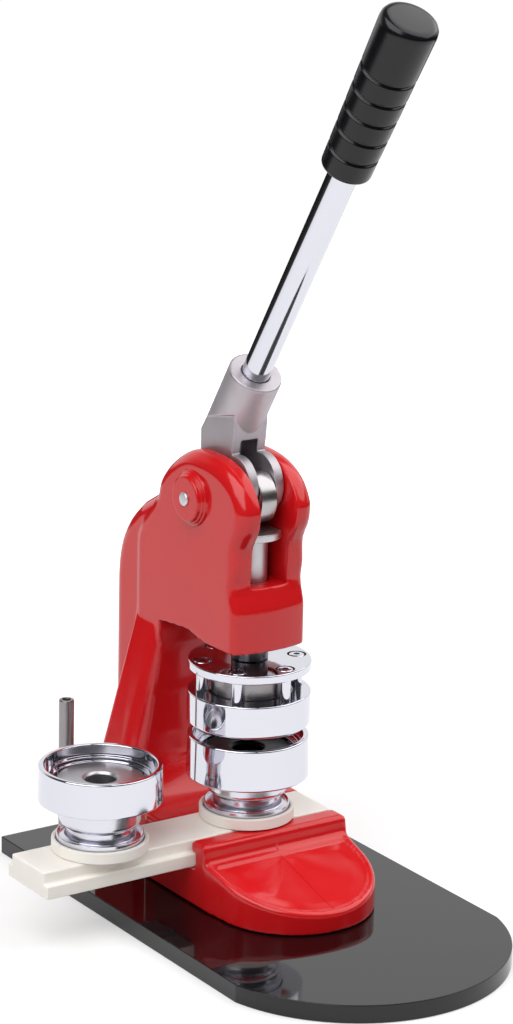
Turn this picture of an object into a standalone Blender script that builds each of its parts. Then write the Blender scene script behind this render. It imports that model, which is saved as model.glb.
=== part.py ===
# Slide-die button badge press, in metres, +Z up, with its front towards -Y.
# The origin is on the underside of the base plate, below the ram axis.

import math

import bmesh
import bpy
from mathutils import Matrix, Vector

MM = 0.001

# Clearances
SEAT_GAP = 0.3 * MM
RUNNING_GAP = 0.2 * MM
SLIDE_GAP = 0.3 * MM

# Base plate, measured from the ram axis
PLATE_WIDTH = 134.0 * MM
PLATE_THICKNESS = 7.9 * MM
PLATE_REAR = 96.0 * MM
PLATE_FRONT = 145.6 * MM
PLATE_NOSE_SPARE = 1.8 * MM

# Screws that hold the casting to the plate
BASE_SCREW_RADIUS = 2.5 * MM
BASE_SCREW_HEAD_RADIUS = 5.0 * MM
BASE_SCREW_GRIP = 12.0 * MM
BASE_SCREW_RECESS = 0.5 * MM
BASE_SCREW_SPOTS = ((22.0 * MM, -46.0 * MM), (20.0 * MM, 60.0 * MM))

# Steel post that stands in the plate behind the left die
POST_RADIUS = 3.3 * MM
POST_HEIGHT = 75.6 * MM
POST_SINK = 5.0 * MM
POST_FROM_SIDE = 9.0 * MM
POST_FROM_REAR = 41.0 * MM
POST_EDGE = 0.6 * MM

# Foot of the casting
FOOT_RADIUS = 36.0 * MM
FOOT_NOSE_CENTRE = -34.8 * MM
FOOT_RIM_HEIGHT = 8.7 * MM
FOOT_SLOPE_RISE = 12.4 * MM
FOOT_FLARE = 1.1 * MM
FOOT_NECK_HALF_WIDTH = 28.0 * MM
FOOT_NECK_LENGTH = 13.0 * MM
FOOT_TAIL = 70.0 * MM
DISH_RIM = 3.0 * MM
DISH_DEPTH = 1.0 * MM
CHANNEL_FLOOR_HEIGHT = 17.4 * MM
LIP_WIDTH = 9.0 * MM
LIP_DRAFT = 1.5 * MM
LIP_DROP = 0.3 * MM

# Column of the casting, with the upright spine behind its flared sides
COLUMN_FRONT = 43.0 * MM
COLUMN_BACK = 62.7 * MM
COLUMN_FOOT_BACK = 79.2 * MM
COLUMN_FOOT_HALF_WIDTH = 33.2 * MM
COLUMN_FILLET = 20.0 * MM
COLUMN_FRONT_EDGE = 4.0 * MM
COLUMN_BACK_EDGE = 2.0 * MM
COLUMN_DROP = 2.6 * MM
COLUMN_TUCK = 6.0 * MM
SPINE_WIDTH = 35.2 * MM
SPINE_FRONT = 50.0 * MM
SPINE_EDGE = 8.0 * MM

# Head of the casting
HEAD_WIDTH = 37.4 * MM
HEAD_EDGE = 6.5 * MM
HEAD_REAR = 65.2 * MM
HEAD_GAP = 8.3 * MM
HEAD_FRONT = -17.2 * MM
HEAD_WAIST = -13.8 * MM
HEAD_BLOCK_HEIGHT = 17.5 * MM
HEAD_BAND_HEIGHT = 10.5 * MM
SLOT_FLOOR_HEIGHT = 27.0 * MM
SLOT_FLOOR_THICKNESS = 2.5 * MM
SLOT_REAR = 33.0 * MM
SLOT_CORNER = 3.0 * MM
SPRING_CAVITY_RADIUS = 11.8 * MM
BOSS_RADIUS = 11.75 * MM
BOSS_FACE_RADIUS = 10.2 * MM
BOSS_STEP = 1.7 * MM

# Slide bar and its two stations
BAR_WIDTH = 26.0 * MM
BAR_FLANGE_WIDTH = 32.0 * MM
BAR_FLANGE_HEIGHT = 6.0 * MM
BAR_HEIGHT = 11.1 * MM
BAR_OVERHANG = 35.3 * MM
BAR_EDGE = 0.8 * MM
STATION_PITCH = 74.3 * MM
STOP_PIN_RADIUS = 2.0 * MM
STOP_PIN_SINK = 5.0 * MM
STOP_PIN_REACH = 3.4 * MM
STOP_GROOVE_DEPTH = 4.0 * MM

# Lower dies
SEAT_FROM_RIM = 5.9 * MM
SEAT_WALL = 1.7 * MM
SEAT_HEIGHT = 4.9 * MM
SEAT_FLOOR = 2.5 * MM
FLANGE_HEIGHT = 4.3 * MM
FLARE_HEIGHT = 2.7 * MM
NECK_WAIST = 3.3 * MM
NECK_HEIGHT = 1.6 * MM
NECK_FLARE = 2.0 * MM
BOSS_RING_HEIGHT = 11.5 * MM
DIE_RADIUS = 26.5 * MM
DIE_EDGE = 0.8 * MM
DIE_WEB = 1.3 * MM
DIE_RIM = 2.8 * MM
CUP_DEPTH = 4.8 * MM
CUP_LEDGE = 2.3 * MM
STEP_DEPTH = 1.6 * MM
STEP_LEDGE = 1.4 * MM
ANVIL_GAP = 1.6 * MM
ANVIL_THICKNESS = 2.2 * MM
ANVIL_HOLE_RADIUS = 6.4 * MM
ANVIL_HUB_RADIUS = 10.4 * MM
ANVIL_HUB_DEPTH = 5.9 * MM
ANVIL_TRAVEL = 2.0 * MM
POCKET_DEPTH = 9.9 * MM
LEFT_SKIRT = 3.5 * MM
LEFT_WALL = 11.9 * MM
RIGHT_SKIRT = 5.9 * MM
RIGHT_WALL = 12.5 * MM
DIE_SCREW_RADIUS = 2.8 * MM
DIE_SCREW_HEAD_RADIUS = 5.0 * MM
DIE_SCREW_HEAD_HEIGHT = 4.0 * MM
DIE_SCREW_BITE = 5.7 * MM
DIE_SPRING_RADIUS = 9.0 * MM
DIE_SPRING_WIRE = 0.5 * MM
DIE_SPRING_TURNS = 3

# Upper die
PRESS_GAP = 4.7 * MM
RING_HEIGHT = 15.2 * MM
RING_CHAMFER = 1.5 * MM
RING_RECESS = 2.0 * MM
RING_RECESS_WALL = 6.0 * MM
RING_PUNCH_GAP = 0.7 * MM
FLOAT_GAP = 10.0 * MM
DIE_PLATE_THICKNESS = 3.8 * MM
RING_WALL = 8.3 * MM
PUNCH_SETBACK = 2.4 * MM
PUNCH_EDGE = 1.0 * MM
PUNCH_SCREW_RADIUS = 3.0 * MM
PUNCH_SCREW_HEAD_RADIUS = 5.6 * MM
PUNCH_SCREW_HEAD_HEIGHT = 4.4 * MM
PUNCH_SCREW_REACH = 9.0 * MM
SHOULDER_SCREWS = 6
SHOULDER_FROM_RIM = 5.5 * MM
SHOULDER_FIRST_ANGLE = math.radians(42.0)
SHOULDER_RADIUS = 2.5 * MM
SHOULDER_HEAD_RADIUS = 4.2 * MM
SHOULDER_HEAD_HEIGHT = 1.5 * MM
SHOULDER_SINK = 2.0 * MM
SHOULDER_BITE = 6.0 * MM

# Ram and its return spring
RAM_RADIUS = 7.9 * MM
RAM_SHANK = 25.0 * MM
STEM_RADIUS = 6.7 * MM
STEM_GROOVE = 0.7 * MM
STOP_RING_RADIUS = 11.2 * MM
STOP_RING_HEIGHT = 1.5 * MM
THRUST_RADIUS = 12.6 * MM
THRUST_THICKNESS = 2.5 * MM
THRUST_RISE = 22.2 * MM
THRUST_EDGE = 0.5 * MM
BUSH_HEIGHT = 4.0 * MM
RETURN_SPRING_RADIUS = 9.8 * MM
RETURN_SPRING_WIRE = 0.6 * MM
RETURN_SPRING_TURNS = 3.5

# Lever: pivot, roller, fork, rod and grip
PIVOT_Y = 18.4 * MM
PIVOT_PIN_RADIUS = 3.9 * MM
PIVOT_PIN_PROUD = 1.6 * MM
ROLLER_Y = -1.2 * MM
ROLLER_ABOVE_PIVOT = 2.8 * MM
ROLLER_RADIUS = 11.4 * MM
ROLLER_WIDTH = 8.0 * MM
ROLLER_GAP = 2.8 * MM
ROLLER_EDGE = 0.5 * MM
AXLE_RADIUS = 3.5 * MM
FORK_WIDTH = 16.9 * MM
FORK_GAP = 8.6 * MM
FORK_EYE_RADIUS = 12.6 * MM
FORK_EYE_Y = -16.4 * MM
FORK_EYE_RISE = 8.1 * MM
FORK_HUB_RADIUS = 9.9 * MM
FORK_FLAT_RISE = 34.8 * MM
FORK_FLAT_SLOPE = 0.222
FORK_EDGE = 0.6 * MM
LEVER_LEAN = math.radians(32.0)
SOCKET_Y = -18.4 * MM
SOCKET_RISE = 56.2 * MM
SOCKET_RADIUS = 11.6 * MM
SOCKET_LENGTH = 36.0 * MM
SOCKET_BORE_DEPTH = 25.0 * MM
ROD_RADIUS = 6.1 * MM
GRIP_START = 112.6 * MM
GRIP_LENGTH = 75.7 * MM
GRIP_LOW_RADIUS = 10.5 * MM
GRIP_HIGH_RADIUS = 12.15 * MM
GRIP_BORE_DEPTH = 62.0 * MM
GRIP_GROOVES = 5
GRIP_GROOVE_START = 9.1 * MM
GRIP_GROOVE_PITCH = 10.0 * MM
GRIP_GROOVE_WIDTH = 2.2 * MM
GRIP_GROOVE_DEPTH = 1.0 * MM
GRIP_END_ROUND = 4.0 * MM

# Facets round a full turn
FINE_SEGMENTS = 36
MEDIUM_SEGMENTS = 28
COARSE_SEGMENTS = 12
MERGE = 1e-6

# Heights, stacked from the plate upwards
CAST_BASE = PLATE_THICKNESS + SEAT_GAP
SKIRT = CAST_BASE - PLATE_THICKNESS
CHANNEL_FLOOR = CAST_BASE + CHANNEL_FLOOR_HEIGHT
BAR_BOTTOM = CHANNEL_FLOOR + SLIDE_GAP
FLANGE_TOP = BAR_BOTTOM + BAR_FLANGE_HEIGHT
BAR_TOP = BAR_BOTTOM + BAR_HEIGHT
LIP_TOP = BAR_TOP - LIP_DROP
SEAT_BOTTOM = BAR_TOP + SEAT_GAP
SEAT_TOP = SEAT_BOTTOM + SEAT_HEIGHT
STEM_BOTTOM = SEAT_BOTTOM + SEAT_FLOOR + SEAT_GAP
BOSS_BOTTOM = STEM_BOTTOM + FLANGE_HEIGHT + FLARE_HEIGHT + NECK_HEIGHT + NECK_FLARE
BOSS_TOP = BOSS_BOTTOM + BOSS_RING_HEIGHT
POCKET_FLOOR = BOSS_TOP - POCKET_DEPTH
WEB_BOTTOM = BOSS_TOP + SEAT_GAP
WEB_TOP = WEB_BOTTOM + DIE_WEB
ANVIL_BOTTOM = WEB_TOP + ANVIL_TRAVEL + SEAT_GAP
ANVIL_TOP = ANVIL_BOTTOM + ANVIL_THICKNESS
RIGHT_DIE_TOP = WEB_BOTTOM + RIGHT_WALL
RING_BOTTOM = RIGHT_DIE_TOP + PRESS_GAP
RING_TOP = RING_BOTTOM + RING_HEIGHT
DIE_PLATE_BOTTOM = RING_TOP + FLOAT_GAP
DIE_PLATE_TOP = DIE_PLATE_BOTTOM + DIE_PLATE_THICKNESS
RAM_BOTTOM = DIE_PLATE_TOP + SEAT_GAP
PUNCH_BOTTOM = RING_BOTTOM + PUNCH_SETBACK
PUNCH_TOP = DIE_PLATE_BOTTOM - SEAT_GAP
HEAD_UNDERSIDE = DIE_PLATE_TOP + HEAD_GAP
COLUMN_TOP = HEAD_UNDERSIDE - COLUMN_DROP
SLOT_FLOOR = HEAD_UNDERSIDE + SLOT_FLOOR_HEIGHT
CAVITY_TOP = SLOT_FLOOR - SLOT_FLOOR_THICKNESS
STOP_RING_TOP = CAVITY_TOP - SEAT_GAP
STOP_RING_BOTTOM = STOP_RING_TOP - STOP_RING_HEIGHT
BUSH_TOP = HEAD_UNDERSIDE + SEAT_GAP + BUSH_HEIGHT
THRUST_TOP = SLOT_FLOOR + THRUST_RISE
ROLLER_Z = THRUST_TOP + ROLLER_GAP + ROLLER_RADIUS
PIVOT_Z = ROLLER_Z - ROLLER_ABOVE_PIVOT

# Widths and places that follow from the sizes above
CHANNEL_HALF = BAR_WIDTH / 2 + SLIDE_GAP
LIP_FRONT = -(CHANNEL_HALF + LIP_WIDTH)
LIP_FOOT = LIP_FRONT - LIP_DRAFT
FOOT_FRONT = FOOT_NOSE_CENTRE - FOOT_RADIUS
FOOT_RIM_TOP = CAST_BASE + FOOT_RIM_HEIGHT
SLOPE_TOP = FOOT_RIM_TOP + FOOT_SLOPE_RISE
HEAD_HALF = HEAD_WIDTH / 2
SLOT_HALF = FORK_WIDTH / 2 + 2 * SLIDE_GAP
BOSS_FACE = HEAD_HALF + 2 * BOSS_STEP
SOCKET_TOP = Vector((0.0, PIVOT_Y + SOCKET_Y, PIVOT_Z + SOCKET_RISE))
PIVOT = Vector((0.0, PIVOT_Y, PIVOT_Z))
ROLLER_AXIS = Vector((0.0, ROLLER_Y, ROLLER_Z))
STATIONS = {"left": -STATION_PITCH, "right": 0.0}
SEAT_RADIUS = DIE_RADIUS - SEAT_FROM_RIM
FLANGE_RADIUS = SEAT_RADIUS - SEAT_WALL - SLIDE_GAP
NECK_RADIUS = FLANGE_RADIUS - NECK_WAIST
BOSS_RING_RADIUS = NECK_RADIUS + NECK_FLARE
CUP_RADIUS = DIE_RADIUS - DIE_RIM
STEP_RADIUS = CUP_RADIUS - CUP_LEDGE
WELL_RADIUS = STEP_RADIUS - STEP_LEDGE
ANVIL_RADIUS = WELL_RADIUS - ANVIL_GAP
RING_BORE = DIE_RADIUS - RING_WALL
PUNCH_RADIUS = RING_BORE - RING_PUNCH_GAP
SHOULDER_CIRCLE_RADIUS = DIE_RADIUS - SHOULDER_FROM_RIM
PLATE_NOSE_RADIUS = PLATE_WIDTH / 2 + PLATE_NOSE_SPARE
POST_X = POST_FROM_SIDE - PLATE_WIDTH / 2
POST_Y = PLATE_REAR - POST_FROM_REAR
ALONG_X = Matrix.Rotation(math.pi / 2, 4, "Y")


def clear_scene():
    for item in list(bpy.data.objects):
        bpy.data.objects.remove(item)


def finish(name, colour, roughness, metallic):
    """A plain material from an sRGB colour."""
    made = bpy.data.materials.new(name)
    made.use_nodes = True
    shader = made.node_tree.nodes["Principled BSDF"]
    linear = [((c + 0.055) / 1.055) ** 2.4 if c > 0.04045 else c / 12.92 for c in colour]
    shader.inputs["Base Color"].default_value = (*linear, 1.0)
    shader.inputs["Roughness"].default_value = roughness
    shader.inputs["Metallic"].default_value = metallic
    return made


# Outlines

def arc(centre, radius, start, end, steps):
    """Points of an arc in degrees, both ends included."""
    turn = [math.radians(start + (end - start) * i / steps) for i in range(steps + 1)]
    return [(centre[0] + radius * math.cos(a), centre[1] + radius * math.sin(a)) for a in turn]


def smooth_through(points, steps):
    """Points of a Catmull-Rom curve through the given ones."""
    ends = [points[0], *points, points[-1]]
    curve = []
    for a, b, c, d in zip(ends, ends[1:], ends[2:], ends[3:]):
        for i in range(steps):
            t = i / steps
            curve.append(tuple(
                0.5 * (2 * b[k] + (c[k] - a[k]) * t + (2 * a[k] - 5 * b[k] + 4 * c[k] - d[k]) * t ** 2
                       + (3 * b[k] - a[k] - 3 * c[k] + d[k]) * t ** 3) for k in (0, 1)))
    return [*curve, points[-1]]


def inset(outline, distance):
    """The outline moved inwards; it runs anticlockwise."""
    moved = []
    for before, here, after in zip([outline[-1], *outline[:-1]], outline, [*outline[1:], outline[0]]):
        first = Vector((here[0] - before[0], here[1] - before[1])).normalized()
        second = Vector((after[0] - here[0], after[1] - here[1])).normalized()
        normal = Vector((-first.y - second.y, first.x + second.x)).normalized()
        reach = distance / max(normal.dot(Vector((-first.y, first.x))), 0.5)
        moved.append((here[0] + normal.x * reach, here[1] + normal.y * reach))
    return moved


# Solids

def loft(loops):
    """A closed solid through loops of equally many points."""
    mesh = bmesh.new()
    rings = [[mesh.verts.new(point) for point in loop] for loop in loops]
    for low, high in zip(rings, rings[1:]):
        for i in range(len(low)):
            mesh.faces.new((low[i - 1], low[i], high[i], high[i - 1]))
    mesh.faces.new(rings[0])
    mesh.faces.new(rings[-1])
    bmesh.ops.recalc_face_normals(mesh, faces=mesh.faces)
    return mesh


def upright(outline, low, high):
    """A prism over a plan outline; low and high are heights or functions of Y."""
    def level(height, point):
        return height(point[1]) if callable(height) else height
    return loft([[(x, y, level(height, (x, y))) for x, y in outline] for height in (low, high)])


def slab(outline, half_width, edge=0.0, steps=3):
    """A plate across X with a (Y, Z) outline and rounded edges."""
    turns = [math.pi / 2 * i / steps for i in range(steps + 1)] if edge else [math.pi / 2]
    right = [(half_width - edge + edge * math.sin(a), inset(outline, edge * (1 - math.cos(a))))
             for a in turns]
    left = [(-x, loop) for x, loop in reversed(right)]
    return loft([[(x, y, z) for y, z in loop] for x, loop in left + right])


def turned(profile, segments):
    """A solid turned about Z from (radius, height) points, either a ring or from axis to axis."""
    mesh = bmesh.new()
    verts = [mesh.verts.new((radius, 0.0, height)) for radius, height in profile]
    edges = [mesh.edges.new(pair) for pair in zip(verts, verts[1:])]
    if profile[0][0] > 0.0:
        edges.append(mesh.edges.new((verts[-1], verts[0])))
    bmesh.ops.spin(mesh, geom=verts + edges, cent=(0, 0, 0), axis=(0, 0, 1), angle=2 * math.pi,
                   steps=segments)
    bmesh.ops.remove_doubles(mesh, verts=mesh.verts, dist=MERGE)
    bmesh.ops.recalc_face_normals(mesh, faces=mesh.faces)
    return mesh


def rod(radius, low, high, segments, edge=0.0):
    """A round bar along Z with chamfered ends."""
    if not edge:
        return turned([(0, high), (radius, high), (radius, low), (0, low)], segments)
    return turned([(0, high), (radius - edge, high), (radius, high - edge),
                   (radius, low + edge), (radius - edge, low), (0, low)], segments)


def coil(radius, wire, low, high, turns, per_turn=10, sides=6):
    """A helical spring along Z with flat-cut ends, as one tube."""
    count = round(turns * per_turn)
    climb = (high - low - 2 * wire) / (2 * math.pi * turns)
    tilt = math.atan2(climb, radius)
    loops = []
    for i in range(count + 1):
        angle = 2 * math.pi * i / per_turn
        outward = Vector((math.cos(angle), math.sin(angle), 0))
        along = Vector((-math.sin(angle) * math.cos(tilt), math.cos(angle) * math.cos(tilt), math.sin(tilt)))
        across = along.cross(outward)
        centre = outward * radius + Vector((0, 0, low + wire + climb * angle))
        ring = [2 * math.pi * k / sides for k in range(sides)]
        loops.append([centre + outward * wire * math.cos(a) + across * wire * math.sin(a) for a in ring])
    return loft(loops)


def moved(mesh, matrix):
    mesh.transform(matrix)
    return mesh


def shifted(mesh, x=0.0, y=0.0, z=0.0):
    return moved(mesh, Matrix.Translation((x, y, z)))


def together(meshes):
    """Several solids in one mesh, for a cutter."""
    whole = bmesh.new()
    for mesh in meshes:
        data = bpy.data.meshes.new("piece")
        mesh.to_mesh(data)
        whole.from_mesh(data)
    return whole


# Objects

def axis_empty(name, place):
    empty = bpy.data.objects.new(name, None)
    empty.location = place
    bpy.context.collection.objects.link(empty)
    return empty


def piece(name, mesh, material, axis=None, smooth=35.0):
    """A named object; with an axis empty, its origin lies on that axis."""
    origin = axis.location if axis else Vector()
    mesh.transform(Matrix.Translation(-origin))
    data = bpy.data.meshes.new(name)
    mesh.to_mesh(data)
    data.materials.append(material)
    data.shade_smooth()
    data.set_sharp_from_angle(angle=math.radians(smooth))
    made = bpy.data.objects.new(name, data)
    made.parent = axis
    bpy.context.collection.objects.link(made)
    return made


def boolean(target, mesh, operation):
    """Joins or cuts the target with a hidden tool solid."""
    tool = bpy.data.objects.new(target.name + "_tool", bpy.data.meshes.new("tool"))
    mesh.to_mesh(tool.data)
    tool.hide_render = True
    tool.display_type = "WIRE"
    bpy.context.collection.objects.link(tool)
    modifier = target.modifiers.new(operation.lower(), "BOOLEAN")
    modifier.operation = operation
    modifier.solver = "EXACT"
    modifier.object = tool


def join(target, mesh):
    boolean(target, mesh, "UNION")


def cut(target, mesh):
    boolean(target, mesh, "DIFFERENCE")


# Frame

def screw_spots():
    return [(side * x, y) for x, y in BASE_SCREW_SPOTS for side in (-1, 1)]


def countersunk(radius, head, low, high, neck_gap=0.0, overshoot=0.0):
    """A countersunk screw or its hole, head down."""
    cone = low + head - radius
    return turned([(0, high), (radius + neck_gap, high), (radius + neck_gap, cone),
                   (head + neck_gap, low), (head + neck_gap, low - overshoot), (0, low - overshoot)]
                  if overshoot else
                  [(0, high), (radius, high), (radius, cone), (head, low), (0, low)], COARSE_SEGMENTS)


def base_plate(material):
    half = PLATE_WIDTH / 2
    nose = PLATE_NOSE_RADIUS - PLATE_FRONT
    meet = math.degrees(math.acos(half / PLATE_NOSE_RADIUS))
    outline = [(half, PLATE_REAR), (-half, PLATE_REAR)]
    outline += arc((0, nose), PLATE_NOSE_RADIUS, 180 + meet, 360 - meet, 24)
    plate = piece("base_plate", upright(outline, 0.0, PLATE_THICKNESS), material)
    holes = [shifted(countersunk(BASE_SCREW_RADIUS, BASE_SCREW_HEAD_RADIUS, BASE_SCREW_RECESS,
                                 CAST_BASE, SEAT_GAP, CAST_BASE), x, y) for x, y in screw_spots()]
    socket = rod(POST_RADIUS + RUNNING_GAP, PLATE_THICKNESS - POST_SINK - SEAT_GAP, CAST_BASE,
                 COARSE_SEGMENTS)
    cut(plate, together([*holes, shifted(socket, POST_X, POST_Y)]))


def base_screws(material):
    for number, (x, y) in enumerate(screw_spots(), 1):
        screw = countersunk(BASE_SCREW_RADIUS, BASE_SCREW_HEAD_RADIUS, BASE_SCREW_RECESS,
                            CAST_BASE + BASE_SCREW_GRIP)
        piece(f"base_screw_{number}", shifted(screw, x, y), material)


def rear_post(material):
    post = rod(POST_RADIUS, PLATE_THICKNESS - POST_SINK, PLATE_THICKNESS + POST_HEIGHT, COARSE_SEGMENTS,
               POST_EDGE)
    piece("rear_post", shifted(post, POST_X, POST_Y), material)


def foot_solid():
    """Round-nosed block that narrows behind the guide lips into the column."""
    lip_rear = CHANNEL_HALF + LIP_WIDTH
    sweep = FOOT_RADIUS + FOOT_FLARE - FOOT_NECK_HALF_WIDTH
    shares = [i / 4 for i in range(5)]
    side = [(FOOT_NECK_HALF_WIDTH + sweep * (1 + math.cos(math.pi * t)) / 2, lip_rear + FOOT_NECK_LENGTH * t)
            for t in shares]
    right = [(FOOT_RADIUS + FOOT_FLARE, LIP_FOOT), *side, (FOOT_NECK_HALF_WIDTH, FOOT_TAIL)]
    left = [(-x, y) for x, y in reversed(right)]
    return upright(arc((0, FOOT_NOSE_CENTRE), FOOT_RADIUS, 180, 360, 20) + right + left, SKIRT, LIP_TOP)


def column_section(height):
    """Rounded rectangle of the column at a height, flared towards its foot."""
    share = max(COLUMN_TOP - height, 0.0) / (COLUMN_TOP - CAST_BASE)
    tuck = max(height - COLUMN_TOP, 0.0)
    half = HEAD_HALF - 0.3 * SEAT_GAP - tuck + share * (COLUMN_FOOT_HALF_WIDTH - HEAD_HALF)
    below = min(max(LIP_TOP + COLUMN_FILLET - height, 0.0), COLUMN_FILLET)
    front = COLUMN_FRONT - COLUMN_FILLET + math.sqrt(COLUMN_FILLET ** 2 - below ** 2) + tuck
    back = COLUMN_BACK - tuck + share * (COLUMN_FOOT_BACK - COLUMN_BACK)
    fore, aft = COLUMN_FRONT_EDGE, COLUMN_BACK_EDGE
    outline = arc((half - fore, front + fore), fore, 270, 360, 3)
    outline += arc((half - aft, back - aft), aft, 0, 90, 4)
    outline += arc((aft - half, back - aft), aft, 90, 180, 4)
    outline += arc((fore - half, front + fore), fore, 180, 270, 3)
    return [(x, y, height) for x, y in outline]


def column_solid():
    fillet = [LIP_TOP + COLUMN_FILLET * (1 - math.cos(math.pi / 2 * i / 4)) for i in range(5)]
    return loft([column_section(z) for z in (SKIRT, *fillet, COLUMN_TOP, COLUMN_TOP + COLUMN_TUCK)])


def spine_solid():
    """Upright back of the casting, rounded over at the top into the knuckle."""
    rear = [(65.2, -49.6), (64.1, -40.1), (61, -30.8), (54.8, -21.6), (45.4, -13), (25, -1)]
    placed = [(PIVOT_Y + y * MM, PIVOT_Z + z * MM) for y, z in rear]
    curve = [*smooth_through(placed[:-1], 2), placed[-1]]
    low = SKIRT - SPINE_EDGE
    inner = [(SPINE_FRONT - 2 * HEAD_EDGE, SLOT_FLOOR + HEAD_BAND_HEIGHT), (SPINE_FRONT, COLUMN_TOP)]
    return slab([(SPINE_FRONT, low), (curve[0][0], low), *curve, *inner], SPINE_WIDTH / 2, SPINE_EDGE, 4)


def head_outline():
    """Side view of the head, with the knuckle round the lever pivot."""
    bottom = HEAD_UNDERSIDE - 2 * HEAD_EDGE
    band = HEAD_UNDERSIDE + HEAD_BLOCK_HEIGHT
    knuckle = [(46.8, -31), (45.8, -25), (42, -18), (36, -11.5), (31, -5.5), (28.1, 2.5), (19.6, 11.5),
               (6.6, 19), (-6.4, 20.2), (-20.4, 18.3), (-31.4, 12.5), (-38, 3), (-36.4, -5), (-32.7, -12.5)]
    top = [(PIVOT_Y + y * MM, PIVOT_Z + z * MM) for y, z in knuckle]
    back = (HEAD_REAR, HEAD_UNDERSIDE + COLUMN_TUCK)
    waist = (HEAD_WAIST, SLOT_FLOOR + HEAD_BAND_HEIGHT)
    round_part = smooth_through([back, *top, waist], 3)
    front = [(HEAD_WAIST, band + HEAD_BAND_HEIGHT), (HEAD_FRONT, band), (HEAD_FRONT, bottom)]
    return [(HEAD_REAR, bottom), *round_part, *front]


def pivot_boss(side):
    """Stepped boss cast round one end of the pivot pin."""
    inner = HEAD_HALF - HEAD_EDGE
    step = HEAD_HALF + BOSS_STEP
    profile = [(0, BOSS_FACE), (BOSS_FACE_RADIUS, BOSS_FACE), (BOSS_FACE_RADIUS, step), (BOSS_RADIUS, step),
               (BOSS_RADIUS, inner), (0, inner)]
    turn = Matrix.Rotation(side * math.pi / 2, 4, "Y")
    return moved(turned(profile, MEDIUM_SEGMENTS), Matrix.Translation(PIVOT) @ turn)


def slope_height(y):
    """Height of the foot's sloping top in front of the guide lip."""
    return FOOT_RIM_TOP + FOOT_SLOPE_RISE * (y - FOOT_FRONT) / (LIP_FOOT - FOOT_FRONT)


def slope_cutter():
    clear = LIP_TOP + LIP_WIDTH
    ahead = FOOT_FRONT - LIP_WIDTH
    outline = [(ahead, slope_height(ahead)), (LIP_FOOT, SLOPE_TOP), (LIP_FRONT, LIP_TOP), (LIP_FRONT, clear),
               (ahead, clear)]
    return slab(outline, FOOT_RADIUS + LIP_WIDTH)


def dish_cutter():
    radius = FOOT_RADIUS - DISH_RIM
    back = LIP_FOOT - DISH_RIM
    outline = [*arc((0, FOOT_NOSE_CENTRE), radius, 180, 360, 18), (radius, back), (-radius, back)]
    return upright(outline, lambda y: slope_height(y) - DISH_DEPTH, LIP_TOP + LIP_WIDTH)


def channel_cutter():
    half = CHANNEL_HALF
    flange = BAR_FLANGE_WIDTH / 2 + SLIDE_GAP
    lip = FLANGE_TOP + SLIDE_GAP
    above = LIP_TOP + LIP_WIDTH
    outline = [(-flange, CHANNEL_FLOOR), (flange, CHANNEL_FLOOR), (flange, lip), (half, lip), (half, above),
               (-half, above), (-half, lip), (-flange, lip)]
    return slab(outline, FOOT_RADIUS + LIP_WIDTH)


def underside_cutter():
    low = HEAD_UNDERSIDE - 3 * HEAD_EDGE
    back = COLUMN_FRONT - 0.3 * SEAT_GAP
    outline = [(HEAD_FRONT - HEAD_EDGE, low), (back, low), (back, HEAD_UNDERSIDE),
               (HEAD_FRONT - HEAD_EDGE, HEAD_UNDERSIDE)]
    return slab(outline, HEAD_WIDTH)


def base_cutter():
    low = SKIRT - 2 * SPINE_EDGE
    outline = [(2 * FOOT_FRONT, low), (PLATE_REAR, low), (PLATE_REAR, CAST_BASE), (2 * FOOT_FRONT, CAST_BASE)]
    return slab(outline, PLATE_WIDTH / 2)


def slot_cutter():
    front = HEAD_FRONT - 4 * HEAD_EDGE
    corner = SLOT_HALF - SLOT_CORNER
    rear = SLOT_REAR - SLOT_CORNER
    outline = [(-SLOT_HALF, front), (SLOT_HALF, front)]
    outline += arc((corner, rear), SLOT_CORNER, 0, 90, 3) + arc((-corner, rear), SLOT_CORNER, 90, 180, 3)
    return upright(outline, SLOT_FLOOR, PIVOT_Z + SOCKET_RISE)


def ram_bore_cutter():
    stem = STEM_RADIUS + SLIDE_GAP
    above = SLOT_FLOOR + SLOT_FLOOR_THICKNESS
    below = HEAD_UNDERSIDE - BUSH_HEIGHT
    return turned([(0, above), (stem, above), (stem, CAVITY_TOP), (SPRING_CAVITY_RADIUS, CAVITY_TOP),
                   (SPRING_CAVITY_RADIUS, below), (0, below)], MEDIUM_SEGMENTS)


def frame_casting(material):
    casting = piece("frame_casting", foot_solid(), material)
    join(casting, column_solid())
    join(casting, spine_solid())
    join(casting, slab(head_outline(), HEAD_HALF, HEAD_EDGE))
    join(casting, pivot_boss(-1))
    join(casting, pivot_boss(1))
    cut(casting, base_cutter())
    cut(casting, underside_cutter())
    cut(casting, slope_cutter())
    cut(casting, dish_cutter())
    cut(casting, channel_cutter())
    cut(casting, slot_cutter())
    cut(casting, ram_bore_cutter())
    reach = BOSS_FACE + BOSS_STEP
    pivot_bore = moved(rod(PIVOT_PIN_RADIUS + RUNNING_GAP, -reach, reach, COARSE_SEGMENTS), ALONG_X)
    cut(casting, moved(pivot_bore, Matrix.Translation(PIVOT)))
    screw_holes = [shifted(rod(BASE_SCREW_RADIUS + RUNNING_GAP, 0.0, CAST_BASE + BASE_SCREW_GRIP + SEAT_GAP,
                               COARSE_SEGMENTS), x, y) for x, y in screw_spots()]
    stop_hole = rod(STOP_PIN_RADIUS + RUNNING_GAP, CHANNEL_FLOOR - STOP_PIN_SINK - SEAT_GAP,
                    BAR_TOP, COARSE_SEGMENTS)
    cut(casting, together([*screw_holes, stop_hole]))


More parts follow.
